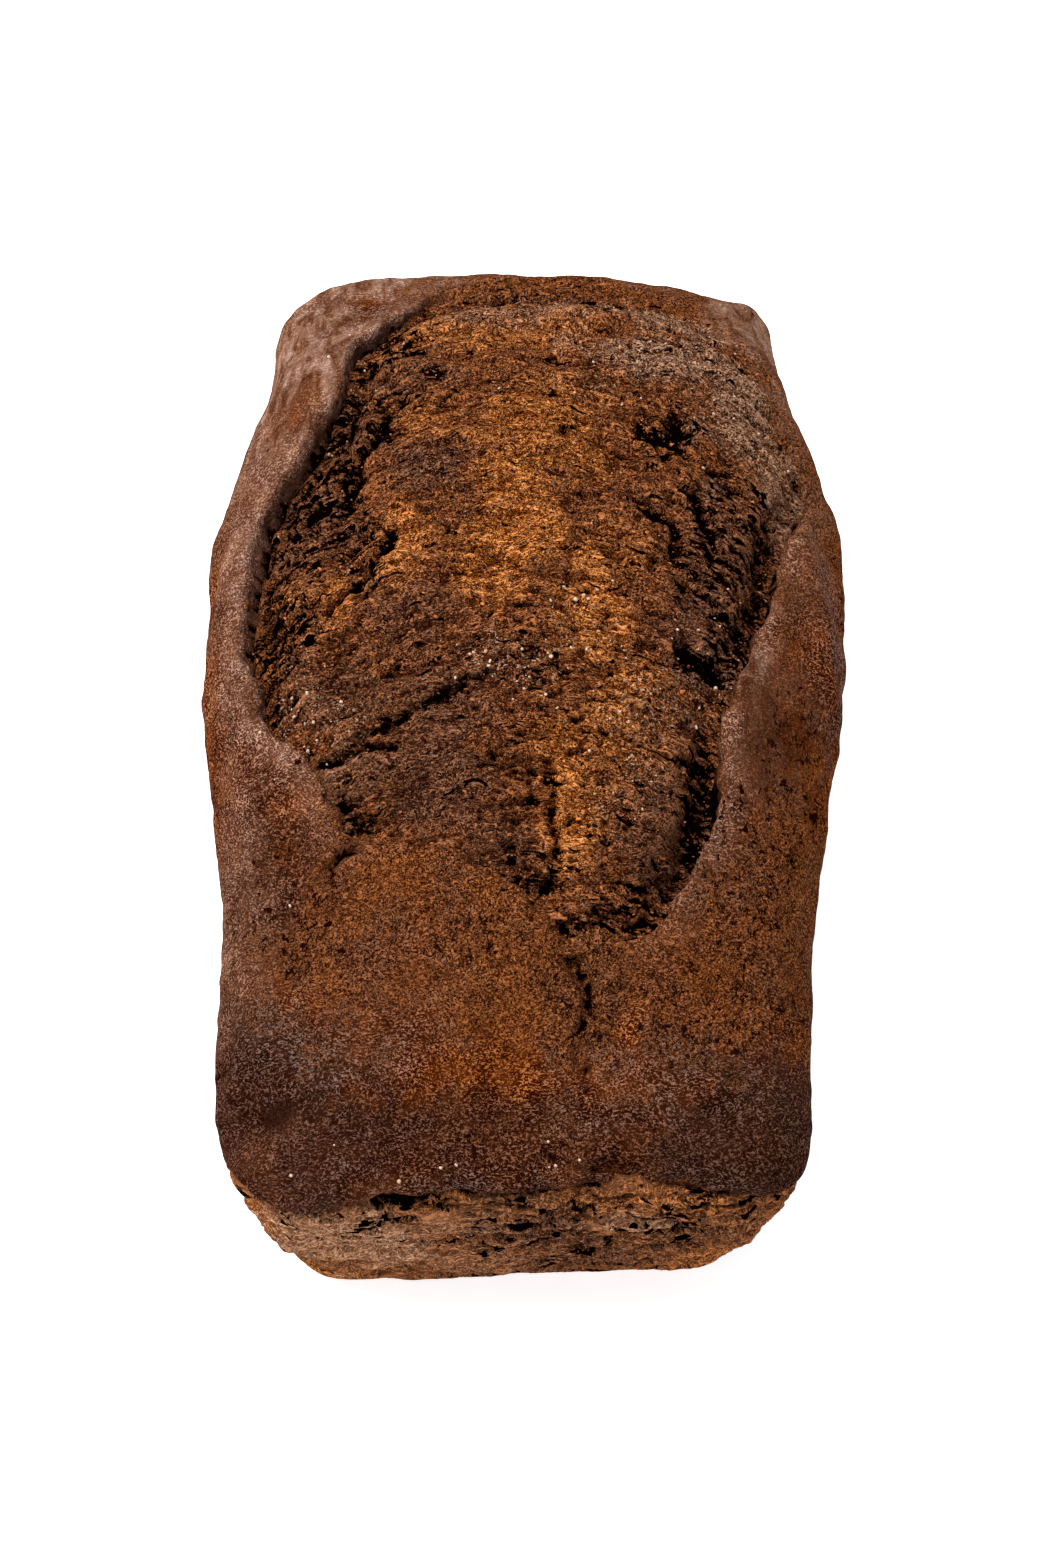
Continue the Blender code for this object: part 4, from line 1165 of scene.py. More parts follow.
def crust_material(look):
    """Baked crust: browned skin, pebbled and pitted, with torn grain where it thins out and a dim sheen.
    Painted shade darkens its pits, cracks and the places under its lips, and a painted highlight lightens the
    ridges of its torn grain.
    """
    material, tree, shader, place = new_material("baked_crust")
    hollow, grainy = attribute(tree, "hollow"), attribute(tree, "grainy")
    skin = {"Vector": place, "Pitted": attribute(tree, "pitted")}
    skin = place_group(tree, baked_skin_group, "baked skin", skin)
    grain = place_group(tree, torn_crumb_group, "torn crumb", {"Vector": place, "Fibres": place})
    specks = skin["Specks"]
    streaks = noise_node(tree, stretched(tree, place, STREAK_SHARE), STREAK_SIZE, 3.0, 0.6, 0.4)
    colour = crust_colour(tree, place, look, skin["Mottle"], streaks)
    colour = speckled(tree, place, look, colour, specks)
    # Painted highlight on the ridges and painted shade in the gaps of the torn grain, and painted shade in
    # the skin's pits
    torn = times(tree, grainy, GRAINY_COLOUR)
    colour = blend_colour(tree, times(tree, grain["Light"], torn), colour, look.crumb_light)
    gaps = larger(tree, times(tree, grain["Gaps"], torn), skin["Pits"])
    colour = blend_colour(tree, gaps, colour, look.crumb_gap)
    # Painted shade in the crust's cracks, under its lips and in the dent, with ragged edges
    ragged = plus(tree, hollow, times(tree, minus(tree, specks, 0.5), CRUST_HOLLOW_RAGS))
    colour = blend_colour(tree, in_range(tree, ragged, *CRUST_HOLLOW_RANGE), colour, look.crumb_hollow_shade)
    sheen = times(tree, in_range(tree, specks, *SHEEN_RANGE), attribute(tree, "sheen"))
    sheen = times(tree, times(tree, sheen, look.crust_sheen), minus(tree, 1.0, hollow))
    height = plus(tree, skin["Height"], times(tree, grain["Height"], times(tree, grainy, GRAINY_HEIGHT)))
    drawn = times(tree, attribute(tree, "calm"), STREAK_HEIGHT)
    height = plus(tree, height, times(tree, streaks, drawn))
    finish_shader(
        tree,
        shader,
        {"Base Color": colour, "Coat Weight": sheen, "Normal": bumped(tree, height, look.crust_grain)},
        {
            "Roughness": look.crust_roughness,
            "Specular IOR Level": look.crust_gloss,
            "Coat Roughness": look.crust_sheen_roughness,
        },
    )
    return material


def crumb_colour(tree, place, look, brown, tan, gap_share):
    """The torn crumb's colours between its ridges, and on them, where the strands' lighter tone carries a
    painted highlight.
    """
    golden, dusky, dusty = attribute(tree, "golden"), attribute(tree, "dusky"), attribute(tree, "dusty")
    patches = in_range(tree, noise_node(tree, place, DUSK_PATCH, 5.0, 0.7), *DUSK_PATCH_RANGE)
    colour = blend_colour(tree, times(tree, patches, gap_share), brown, look.crumb_dusky)
    colour = blend_colour(tree, golden, colour, look.crumb_gold)
    set_early = larger(tree, dusky, times(tree, attribute(tree, "pitted"), PITTED_DUSK))
    colour = blend_colour(tree, set_early, colour, look.crumb_dusky)
    colour = blend_colour(tree, dusty, colour, tan)
    colour = blend_colour(tree, attribute(tree, "crusty"), colour, look.crust)
    ridges = blend_colour(tree, golden, look.crumb_light, look.crumb_bright)
    ridges = blend_colour(tree, dusky, ridges, look.crumb_ash)
    return colour, blend_colour(tree, dusty, ridges, look.crumb_dust)


def crumb_material(name, look, brown, tan, grain_share=(1.0, 1.0, 1.0), gap_share=0.9):
    """Torn crumb: brown, golden or dusky, light on its ridges with a painted highlight, with painted shade in
    its gaps and hollows, a dusting of sugar and a few painted glints.
    """
    material, tree, shader, place = new_material(name)
    grain = {"Cavity": attribute(tree, "cavity"), "Pitted": attribute(tree, "pitted")}
    grain["Vector"] = stretched(tree, place, grain_share)
    grain["Fibres"] = stretched(tree, attribute(tree, "fibre", "Vector"), grain_share)
    grain = place_group(tree, torn_crumb_group, "torn crumb", grain)
    colour, ridges = crumb_colour(tree, place, look, brown, tan, gap_share)
    light = times(tree, grain["Light"], in_range(tree, attribute(tree, "dusky"), *DUSKY_LIGHT))
    colour = blend_colour(tree, light, colour, ridges)
    colour = blend_colour(tree, times(tree, grain["Gaps"], gap_share), colour, look.crumb_gap)
    flecks = noise_node(tree, place, FLECK_SIZE, 2.0, 0.6)
    sugary = attribute(tree, "sugary")
    # Sugar in the sugary and dusty zones, and a few painted glints everywhere else
    dusting = larger(tree, sugary, times(tree, attribute(tree, "dusty"), DUSTY_FLECKS))
    dusting = larger(tree, dusting, LEAST_GLINT_FLECKS)
    dusting = times(tree, dusting, in_range(tree, flecks, *FLECK_RANGE))
    colour = blend_colour(tree, dusting, colour, look.sugar_stained)
    # Painted shade in the crumb's gaps, hollows and pits
    torn = times(tree, minus(tree, grain["Gaps"], grain["Light"]), CRUMB_HOLLOW_RAGS)
    ragged = plus(tree, attribute(tree, "hollow"), torn)
    deep = larger(tree, in_range(tree, ragged, *CRUMB_HOLLOW_RANGE), grain["Pits"])
    glints = times(tree, in_range(tree, flecks, *GLINT_RANGE), minus(tree, 1.0, deep))
    finish_shader(
        tree,
        shader,
        {
            "Base Color": blend_colour(tree, deep, colour, look.crumb_hollow_shade),
            "Coat Weight": times(tree, glints, in_range(tree, sugary, *GLINT_ZONES)),
            "Normal": bumped(tree, grain["Height"], look.crumb_grain),
        },
        {
            "Roughness": look.crumb_roughness,
            "Specular IOR Level": look.crumb_gloss,
            "Coat Roughness": look.glint_roughness,
        },
    )
    return material


def sugar_material(look):
    """Baked sugar: off-white crystals, some of them stained by the crust."""
    material, tree, shader, place = new_material("sugar")
    stain = in_range(tree, noise_node(tree, place, STAIN_SIZE, 2.0), *STAIN_RANGE)
    frost = in_range(tree, noise_node(tree, place, FROST_SIZE, 2.0), *FROST_RANGE)
    colour = blend_colour(tree, stain, look.sugar, look.sugar_stained)
    finish_shader(tree, shader, {"Base Color": colour, "Roughness": frost}, {})
    return material


def bit_material(look):
    """Loose crumbs: each bit has its own shade, and is golden or dusky as the crumb that it broke off."""
    material, tree, shader, place = new_material("crumb_bits")
    shade, golden, dusky = attribute(tree, "shade"), attribute(tree, "golden"), attribute(tree, "dusky")
    dark = blend_colour(tree, dusky, look.crumb, look.crumb_dusky)
    light = blend_colour(tree, golden, look.crumb_light, look.crumb_bright)
    speckle = in_range(tree, noise_node(tree, place, SPECKLE_SIZE, 2.0), *SPECKLE_RANGE)
    mixed = in_range(tree, plus(tree, shade, speckle), *LIGHT_BITS)
    colour = blend_colour(tree, golden, dark, look.crumb_gold)
    colour = blend_colour(tree, mixed, colour, light)
    colour = blend_colour(tree, in_range(tree, shade, *DARK_BITS), colour, look.crumb_gap)
    values = {"Roughness": look.crumb_roughness, "Specular IOR Level": look.crumb_gloss}
    finish_shader(tree, shader, {"Base Color": colour}, values)
    return material


def floor_material(stage):
    """Plain pale floor, with the faintest unevenness."""
    material, tree, shader, place = new_material("floor")
    cloud = in_range(tree, noise_node(tree, place, CLOUD_SIZE, 2.0), *CLOUD_RANGE)
    colour = blend_colour(tree, cloud, stage.floor_colour, FLOOR_SHADE)
    values = {"Roughness": FLOOR_ROUGHNESS, "Emission Color": (*GLOW_COLOUR, 1.0)}
    values["Emission Strength"] = stage.floor_glow
    finish_shader(tree, shader, {"Base Color": colour}, values)
    return material


# ---- Settings


def colour_setting(name, description, default):
    """A colour that a user can change."""
    return FloatVectorProperty(name=name, description=description, subtype="COLOR", default=default)


def count_setting(name, description, default, **more):
    """A whole number that a user can change."""
    return IntProperty(name=name, description=description, default=default, **more)


def number_setting(name, description, default, **more):
    """A number that a user can change."""
    return FloatProperty(name=name, description=description, default=default, **more)


def length_setting(name, description, default, **more):
    """A length that a user can change."""
    return number_setting(name, description, default, unit="LENGTH", **more)


def share_setting(name, description, default):
    """A share of one that a user can change."""
    return number_setting(name, description, default, subtype="FACTOR")


class LoafTin(bpy.types.PropertyGroup):
    """Sizes of the baked loaf."""

    rim_length: length_setting("Rim length", "Length of the loaf at the tin's rim", 0.2255)
    rim_width: length_setting("Rim width", "Width of the loaf at the tin's rim", 0.115)
    rim_height: length_setting("Rim height", "Height of the tin's rim", 0.060)
    wall_lean: length_setting("Wall lean", "How far each wall moves in between rim and base", 0.0096)
    dome_height: length_setting("Dome height", "Rise of the dome over the flat top", 0.021)
    crust_columns: count_setting("Crust columns", "Faces across the crust's top", 180, min=40)
    crumb_pitch: length_setting("Crumb mesh pitch", "Spacing of the crumb's mesh", 0.00039, min=0.0003)


class LoafLook(bpy.types.PropertyGroup):
    """Colours and finish of the crust and the crumb."""

    crust: colour_setting("Crust", "Browned crust", (0.132, 0.0330, 0.0066))
    crust_dusky: colour_setting("Dusky crust", "Crust with a purple cast", (0.095, 0.033, 0.016))
    # A painted glint: the grey-pink that the lighter specks take on the dark crust and in the sheen zones
    crust_painted_glint: colour_setting("Crust strokes", "Dull strokes on the dark crust", (0.218, 0.122, 0.088))
    # Browned crust, also the colour of the painted shade along the near end and in the near split
    crust_dark: colour_setting("Dark crust", "Crust browned most", (0.032, 0.0120, 0.0076))
    crust_warm: colour_setting("Warm crust", "Thin, golden crust", (0.145, 0.0370, 0.0066))
    # Pale crust, also the colour of the painted highlight along the lips
    crust_pale: colour_setting("Pale crust", "Crust against the tin", (0.228, 0.117, 0.076))
    # Painted shade in the grooves of the drawn skin, and a painted sheen on its ridges
    crust_groove_shade: colour_setting("Streaked crust", "Grooves of the drawn skin", (0.110, 0.036, 0.014))
    crust_ridge_sheen: colour_setting("Bloomed crust", "Ridges of the drawn skin", (0.335, 0.200, 0.143))
    crumb: colour_setting("Crumb", "Torn crumb", (0.094, 0.0190, 0.0038))
    crumb_gold: colour_setting("Golden crumb", "Crumb that rose last", (0.258, 0.0530, 0.0030))
    crumb_dusky: colour_setting("Dusky crumb", "Crumb that set first", (0.052, 0.0115, 0.0040))
    crumb_tan: colour_setting("Tan crumb", "Crumb with a dusting of sugar", (0.165, 0.055, 0.020))
    end_crumb: colour_setting("End crumb", "Torn crumb of the near end", (0.325, 0.122, 0.046))
    end_tan: colour_setting("Tan end crumb", "Driest crumb of the near end", (0.490, 0.198, 0.086))
    # Ridge colours: the strands' lighter tone with a painted highlight. The first two also colour the lighter
    # loose crumbs
    crumb_light: colour_setting("Crumb ridges", "Toasted ridges", (0.480, 0.160, 0.051))
    crumb_bright: colour_setting("Golden ridges", "Ridges of the golden crumb", (0.950, 0.355, 0.094))
    crumb_ash: colour_setting("Dusky ridges", "Ridges of the dusky crumb", (0.385, 0.165, 0.084))
    crumb_dust: colour_setting("Dusted ridges", "Ridges with a dusting of sugar", (0.740, 0.450, 0.290))
    # Painted shade in the gaps between grains, also the colour of the darkest loose crumbs, and darkest at
    # the bottom of cracks and holes
    crumb_gap: colour_setting("Crumb gaps", "Gaps between grains", (0.014, 0.0022, 0.0007))
    crumb_hollow_shade: colour_setting("Deep holes", "Bottom of cracks and holes", (0.0032, 0.0008, 0.0006))
    sugar: colour_setting("Sugar", "Sugar grains", (0.62, 0.46, 0.35))
    sugar_stained: colour_setting("Stained sugar", "Sugar browned by the crust", (0.600, 0.370, 0.240))
    crust_roughness: share_setting("Crust roughness", "Roughness of the crust", 0.50)
    crust_gloss: share_setting("Crust gloss", "Strength of the crust's shine", 0.0)
    crumb_roughness: share_setting("Crumb roughness", "Roughness of the crumb", 0.55)
    crumb_gloss: share_setting("Crumb gloss", "Strength of the crumb's shine", 0.0)
    crust_sheen: share_setting("Crust sheen", "Strength of the sheen on the crust's high spots", 0.22)
    crust_sheen_roughness: share_setting("Crust sheen roughness", "Roughness of that sheen", 0.36)
    glint_roughness: share_setting("Glint roughness", "Roughness of the sugary glints", 0.18)
    crust_grain: length_setting("Crust grain", "Depth of the crust's pebbled skin", 0.00032, precision=5)
    crumb_grain: length_setting("Crumb grain", "Depth of the crumb's grain", 0.00075, precision=5)


class LoafTopping(bpy.types.PropertyGroup):
    """Sugar and loose crumbs."""

    bits: count_setting("Crumbs", "Number of loose crumbs", 5200, min=0)
    bit_size: length_setting("Crumb size", "Size of a middling crumb", 0.00045)
    grains: count_setting("Sugar grains", "Number of scattered sugar grains", 240, min=0)
    grain_size: length_setting("Grain size", "Size of a middling sugar grain", 0.00033)
    seed: count_setting("Seed", "Seed of the scatter", 7)


class LoafStage(bpy.types.PropertyGroup):
    """Floor, light and camera."""

    floor_colour: colour_setting("Floor", "Colour of the floor", (0.93, 0.93, 0.93))
    sky: number_setting("Room light", "Strength of the even light of the room", 0.45)
    floor_glow: number_setting("Floor glow", "Light given off by the backlit floor", 0.75)
    key: number_setting("Key light", "Power of the light from the left", 9.0, subtype="POWER")
    top: number_setting("Top light", "Power of the soft light overhead", 12.0, subtype="POWER")
    elevation: number_setting(
        "Camera elevation", "Camera's angle above the horizon", math.radians(57.7), subtype="ANGLE"
    )
    distance: length_setting("Camera distance", "Distance from camera to aim", 0.612)


# ---- The crust


def crust_cage(columns, rows, wall_rows):
    """A closed box from -1 to 1: a grid on top, rows of faces down its sides and one face below."""
    cage = add_grid(columns, rows)
    bpy.ops.object.mode_set(mode="EDIT")
    bpy.ops.mesh.select_mode(type="EDGE")
    bpy.ops.transform.translate(value=(0.0, 0.0, 1.0))
    bpy.ops.mesh.select_all(action="DESELECT")
    bpy.ops.mesh.select_non_manifold()
    bpy.ops.mesh.extrude_region_move(TRANSFORM_OT_translate={"value": (0.0, 0.0, -2.0)})
    bpy.ops.mesh.edge_face_add()
    bpy.ops.object.mode_set(mode="OBJECT")
    ends = np.empty(len(cage.data.edges) * 2, np.int32)
    cage.data.edges.foreach_get("vertices", ends)
    heights = vertices_of(cage)[:, 2][ends.reshape(-1, 2)]
    select_in(cage, "edges", np.abs(heights[:, 0] - heights[:, 1]) > 1.0)
    bpy.ops.mesh.subdivide(number_cuts=wall_rows - 1)
    bpy.ops.object.mode_set(mode="OBJECT")
    return cage


def top_normals(tin, x, y):
    """The way out of the loaf's top at places of the tin."""
    step, top = 0.5 * MM, (np.ones(len(x)), np.ones(len(x), bool))
    across = loaf_form(tin, x + step, y, *top)[0] - loaf_form(tin, x - step, y, *top)[0]
    along = loaf_form(tin, x, y + step, *top)[0] - loaf_form(tin, x, y - step, *top)[0]
    out = np.cross(across, along)
    return out / np.maximum(np.linalg.norm(out, axis=1), 1e-12)[:, None]


def crowded_at_lip(tin, x, y, w, on_top):
    """Draws the top's grid inside the burst towards its lip, so that the lip gets most of the rows."""

    def depth_at(places):
        return burst_depth(loaf_form(tin, places[:, 0], places[:, 1], w, on_top)[0])[0]

    places = np.stack((x, y, w), axis=1)
    depth = depth_at(places)
    slope = slope_of(depth_at, places)
    share = np.clip(depth / CROWD_RUN, 0.0, 1.0)
    crowded = depth * (LIP_CROWD + (1.0 - LIP_CROWD) * share)
    pull = np.where((depth > 0) & on_top, depth - crowded, 0.0)
    steepness = np.maximum(np.sum(slope**2, axis=1), LEAST_STEEPNESS)
    return x - pull * slope[:, 0] / steepness, y - pull * slope[:, 1] / steepness


def store_crust(cage, points, top, depth, soft, cracks):
    """Keeps the crust's zones, the painted shade in its hollows and its pale lips and walls on its mesh."""
    patchy = 1.0 + PATCHINESS * noise_at(points, PATCH_SIZE, 26)
    hollow = eased(cracks * patchy, CRUST_HOLLOW_START, CRUST_HOLLOW_RUN)
    shade = depth + LIP_SHADE_PATCHES * noise_at(points, PATCH_SIZE, 27)
    shade = eased(shade, LIP_SHADE_START, LIP_SHADE_RUN) * (1.0 - soft)
    hollow = np.maximum(np.maximum(hollow, shade), zone_share(points, PAINTED_DENT_SHADE))
    thin = soft * smooth(1.0 + depth / GRAINY_REACH)
    # Paler along the lips, most on the left: partly a painted highlight on the lip's edge
    lip_paleness = np.where(points[:, 0] < 0, PALE_LIP[-1], PALE_LIP[1]) * (1.0 - soft) * top
    lip_paleness = lip_paleness * hump(np.minimum(depth, 0.0) / PALE_LIP_WIDTH)
    pale = np.maximum(lip_paleness, PALE_WALL * (1.0 - eased(points[:, 2], PALE_WALL_Z, PALE_WALL_RUN)))
    high = eased(points[:, 2], HIGH_ZONE_Z, HIGH_ZONE_RUN)
    pale = np.maximum(pale, high * zone_share(points, PALE_ZONES))
    store(
        cage,
        {
            "hollow": top * hollow,
            "bake_and_shade": zone_share(points, DARK_ZONES),
            "pitted": top * zone_share(points, CRUST_PITTED_ZONES),
            "grainy": top * np.maximum(thin, zone_share(points, GRAINY_ZONES)),
            "warm": zone_share(points, WARM_ZONES),
            "pale": pale,
            "calm": np.maximum(CALM_PALE * pale, high * zone_share(points, CALM_ZONES)),
            "sheen": top * zone_share(points, SHEEN_ZONES),
        },
    )


def shape_crust(cage, tin, edge_x, edge_y):
    """Moves the cage's points to the crust's surface, with hollows under its torn lips."""
    u, v, w = vertices_of(cage).T
    on_top = w > 1.0 - 1e-6
    x, y = spread(u, tin.rim_width / 2, edge_x), spread(v, tin.rim_length / 2, edge_y)
    x, y = crowded_at_lip(tin, x, y, w, on_top)
    points, top = loaf_form(tin, x, y, w, on_top)
    place_vertices(cage, points)
    normals = normals_of(cage)
    depth, gape = burst_depth(points)
    torn = on_top & (depth > 0)
    normals[torn] = top_normals(tin, x[torn], y[torn])
    outward = along_surface(-slope_of(lambda places: burst_depth(places)[0], points), normals)
    soft = 1.0 - hardness(gape)
    crumbled = depth + LIP_CRUMBLE * noise_at(points, CRUMBLE_SIZE, 18, 2)
    crumbled = crumbled + soft * SOFT_CRUMBLE * noise_at(points, SOFT_CRUMBLE_SIZE, 25)
    sunk, reach = section_under_lip(crumbled, gape, BURST_HOLLOW)
    curl = hump(np.minimum(depth, 0.0) / CURL_WIDTH) * (1.0 - smooth(depth / LIP_FALL))
    cracks = crack_relief(points) * (depth < 0)
    relief = crust_relief(points)
    meeting = soft * top * torn_share(depth, soft) * (depth > -2 * SOFT_TORN_RUN)
    height = relief + meeting * (crumb_relief(points) - relief)
    height = height + top * (LIP_CURL * gape * curl + swelling_relief(points) - cracks - sunk)
    below, end_gape, near = end_depth(tin, points)
    near = near * smooth(points[:, 2] / FOOT_BLEND)
    end_sunk, end_reach = section_under_lip(below, end_gape, END_HOLLOW)
    bulge = RIM_LIP * hump((below + RIM_LIP_RISE) / RIM_LIP_WIDTH)
    height = height + near * (bulge - end_sunk)
    upward = along_surface(np.tile((0.0, 0.0, 1.0), (len(points), 1)), normals)
    points = points + normals * height[:, None]
    points = points + outward * (top * reach)[:, None] + upward * (near * end_reach)[:, None]
    points[:, 2] = np.where(w < -1.0 + 1e-6, 0.0, np.maximum(points[:, 2], 0.0))
    place_vertices(cage, points)
    store_crust(cage, points, top, depth, soft, cracks)


class LOAF_OT_crust(bpy.types.Operator):
    """Makes the baked crust with the hollows of its two tears"""

    bl_idname = "loaf.crust"
    bl_label = "Crust"

    def execute(self, context):
        tin, look = context.scene.loaf_tin, context.scene.loaf_look
        arcs = math.pi * TOP_EDGE_RADIUS
        across = tin.rim_width - 2 * TOP_EDGE_RADIUS + arcs
        along = tin.rim_length - 2 * TOP_EDGE_RADIUS + arcs
        pitch = across / tin.crust_columns * COARSENESS
        wall_rows = round((tin.rim_height - TOP_EDGE_RADIUS) / pitch / WALL_ROW_STRETCH)
        cage = crust_cage(round(across / pitch), round(along / pitch), wall_rows)
        shape_crust(cage, tin, arcs / across, arcs / along)
        finish_piece(cage, "loaf_crust", crust_material(look))
        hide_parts(NODE)
        return {"FINISHED"}


# ---- The crumb


def keep_only(piece, kept):
    """Deletes the vertices that aren't kept."""
    select_in(piece, "vertices", ~kept)
    bpy.ops.mesh.delete(type="VERT")
    bpy.ops.object.mode_set(mode="OBJECT")


def store_crumb(piece, kept, values):
    """Keeps each of the crumb's values on the mesh, with nought where nothing is kept."""
    for name, value in values.items():
        full = np.zeros((len(kept),) + value.shape[1:])
        full[kept] = value
        store(piece, {name: full})


def painted_hollow_shade(pit, large):
    """How much painted shade a place gets in its pits, cracks and larger cavities."""
    return eased(pit + HOLLOW_CAVITY_SHARE * large, HOLLOW_START, HOLLOW_RUN)


def shape_burst(grid, tin, shape):
    """Moves the grid's points to the torn crumb inside the burst. Gives which of them are kept."""
    u, v, _ = vertices_of(grid).T
    (low_x, high_x), (low_y, high_y) = BURST_X, BURST_Y
    x, y = low_x + (u + 1.0) / 2 * (high_x - low_x), low_y + (v + 1.0) / 2 * (high_y - low_y)
    points, _ = loaf_form(tin, x, y, np.ones(len(x)), np.ones(len(x), bool))
    place_vertices(grid, points)
    normals = normals_of(grid)
    depth, gape = burst_depth(points)
    kept = depth > -PLUG_MARGIN
    base, normals, depth, gape = points[kept], normals[kept], depth[kept], gape[kept]
    places = fibre_places(base)
    dusky, golden = zone_share(base, DUSKY_ZONES), zone_share(base, GOLDEN_ZONES)
    soft = 1.0 - hardness(gape)
    torn = torn_share(depth, soft)
    pitted = zone_share(base, PITTED_ZONES)
    fine, holes = fine_crumb(base, places, pitted)
    fine = fine * (1.0 - CALM_SHARE * dusky)
    holes = holes * (1.0 - CALM_SHARE * dusky * (1.0 - pitted))
    crevice = gape * (1.0 - eased(depth, CREVICE_WALL, CREVICE_WIDTH))
    cracks = crack_relief(base)
    dive = PLUG_DIVE * np.maximum(-depth - TORN_RUN * (BURST_DIVE_START + soft), 0.0)
    height = torn * (crumb_relief(base) + fine - holes) + (1.0 - torn) * crust_relief(base)
    height = height + swelling_relief(base) - cracks - crevice - dive
    small = cavities(height, kept, shape, SMALL_CAVITY)
    large = cavities(height, kept, shape, LARGE_CAVITY)
    points[kept] = base + normals * height[:, None]
    place_vertices(grid, points)
    # Painted shade in the crevice under the lip, in cracks and in holes
    gap = np.minimum(GAP_SHARE * gape, GAP_MOST) * smooth(depth / MM + 1.0)
    gap = gap * (1.0 - eased(depth, GAP_START, GAP_RUN))
    pit = (gap + cracks) * (1.0 + PATCHINESS * noise_at(base, PATCH_SIZE, 26)) + holes
    store_crumb(
        grid,
        kept,
        {
            "hollow": painted_hollow_shade(pit, large),
            "pitted": pitted,
            "golden": golden,
            "dusky": dusky,
            "dusty": zone_share(base, DUSTY_ZONES),
            "sugary": zone_share(base, SUGARY_ZONES),
            "crusty": soft * (1.0 - eased(depth, CRUSTY_START, CRUSTY_RUN)),
            "cavity": small + LARGE_CAVITY_SHARE * large,
            "fibre": places,
        },
    )
    return kept


class LOAF_OT_burst(bpy.types.Operator):
    """Makes the torn crumb that fills the burst along the top"""

    bl_idname = "loaf.burst"
    bl_label = "Crumb of the burst"

    def execute(self, context):
        tin, look = context.scene.loaf_tin, context.scene.loaf_look
        pitch = tin.crumb_pitch * COARSENESS
        columns, rows = (round((high - low) / pitch) for low, high in (BURST_X, BURST_Y))
        grid = add_grid(columns, rows)
        keep_only(grid, shape_burst(grid, tin, (rows + 1, columns + 1)))
        close_plug(grid, (0.0, 0.0, -PLUG_SKIRT), (PLUG_TAPER, PLUG_TAPER, 1.0), sum(BURST_Y) / 2)
        finish_piece(grid, "burst_crumb", crumb_material("burst_crumb", look, look.crumb, look.crumb_tan))
        return {"FINISHED"}


def end_places(tin, a, b):
    """Places round the near end: a runs along the rim, b up the wall, over the edge and inwards."""
    half_x, half_y = tin.rim_width / 2, tin.rim_length / 2
    wall_top = tin.rim_height - TOP_EDGE_RADIUS
    along_x = np.clip(a - END_WRAP - half_x, -half_x, half_x)
    along_y = half_y - np.maximum(END_WRAP - a, 0.0) - np.maximum(a - END_WRAP - tin.rim_width, 0.0)
    angle = np.clip((b - wall_top) / TOP_EDGE_RADIUS, 0.0, np.pi / 2)
    past_edge = np.maximum(b - wall_top - TOP_EDGE_RADIUS * np.pi / 2, 0.0)
    inset = TOP_EDGE_RADIUS * (1.0 - np.cos(angle)) + past_edge
    w = np.arcsin(np.clip(2.0 * b / wall_top - 1.0, -1.0, 1.0)) * 2 / np.pi
    x = np.sign(along_x) * np.minimum(np.abs(along_x), half_x - inset)
    return x, -np.minimum(along_y, half_y - inset), w, b > wall_top


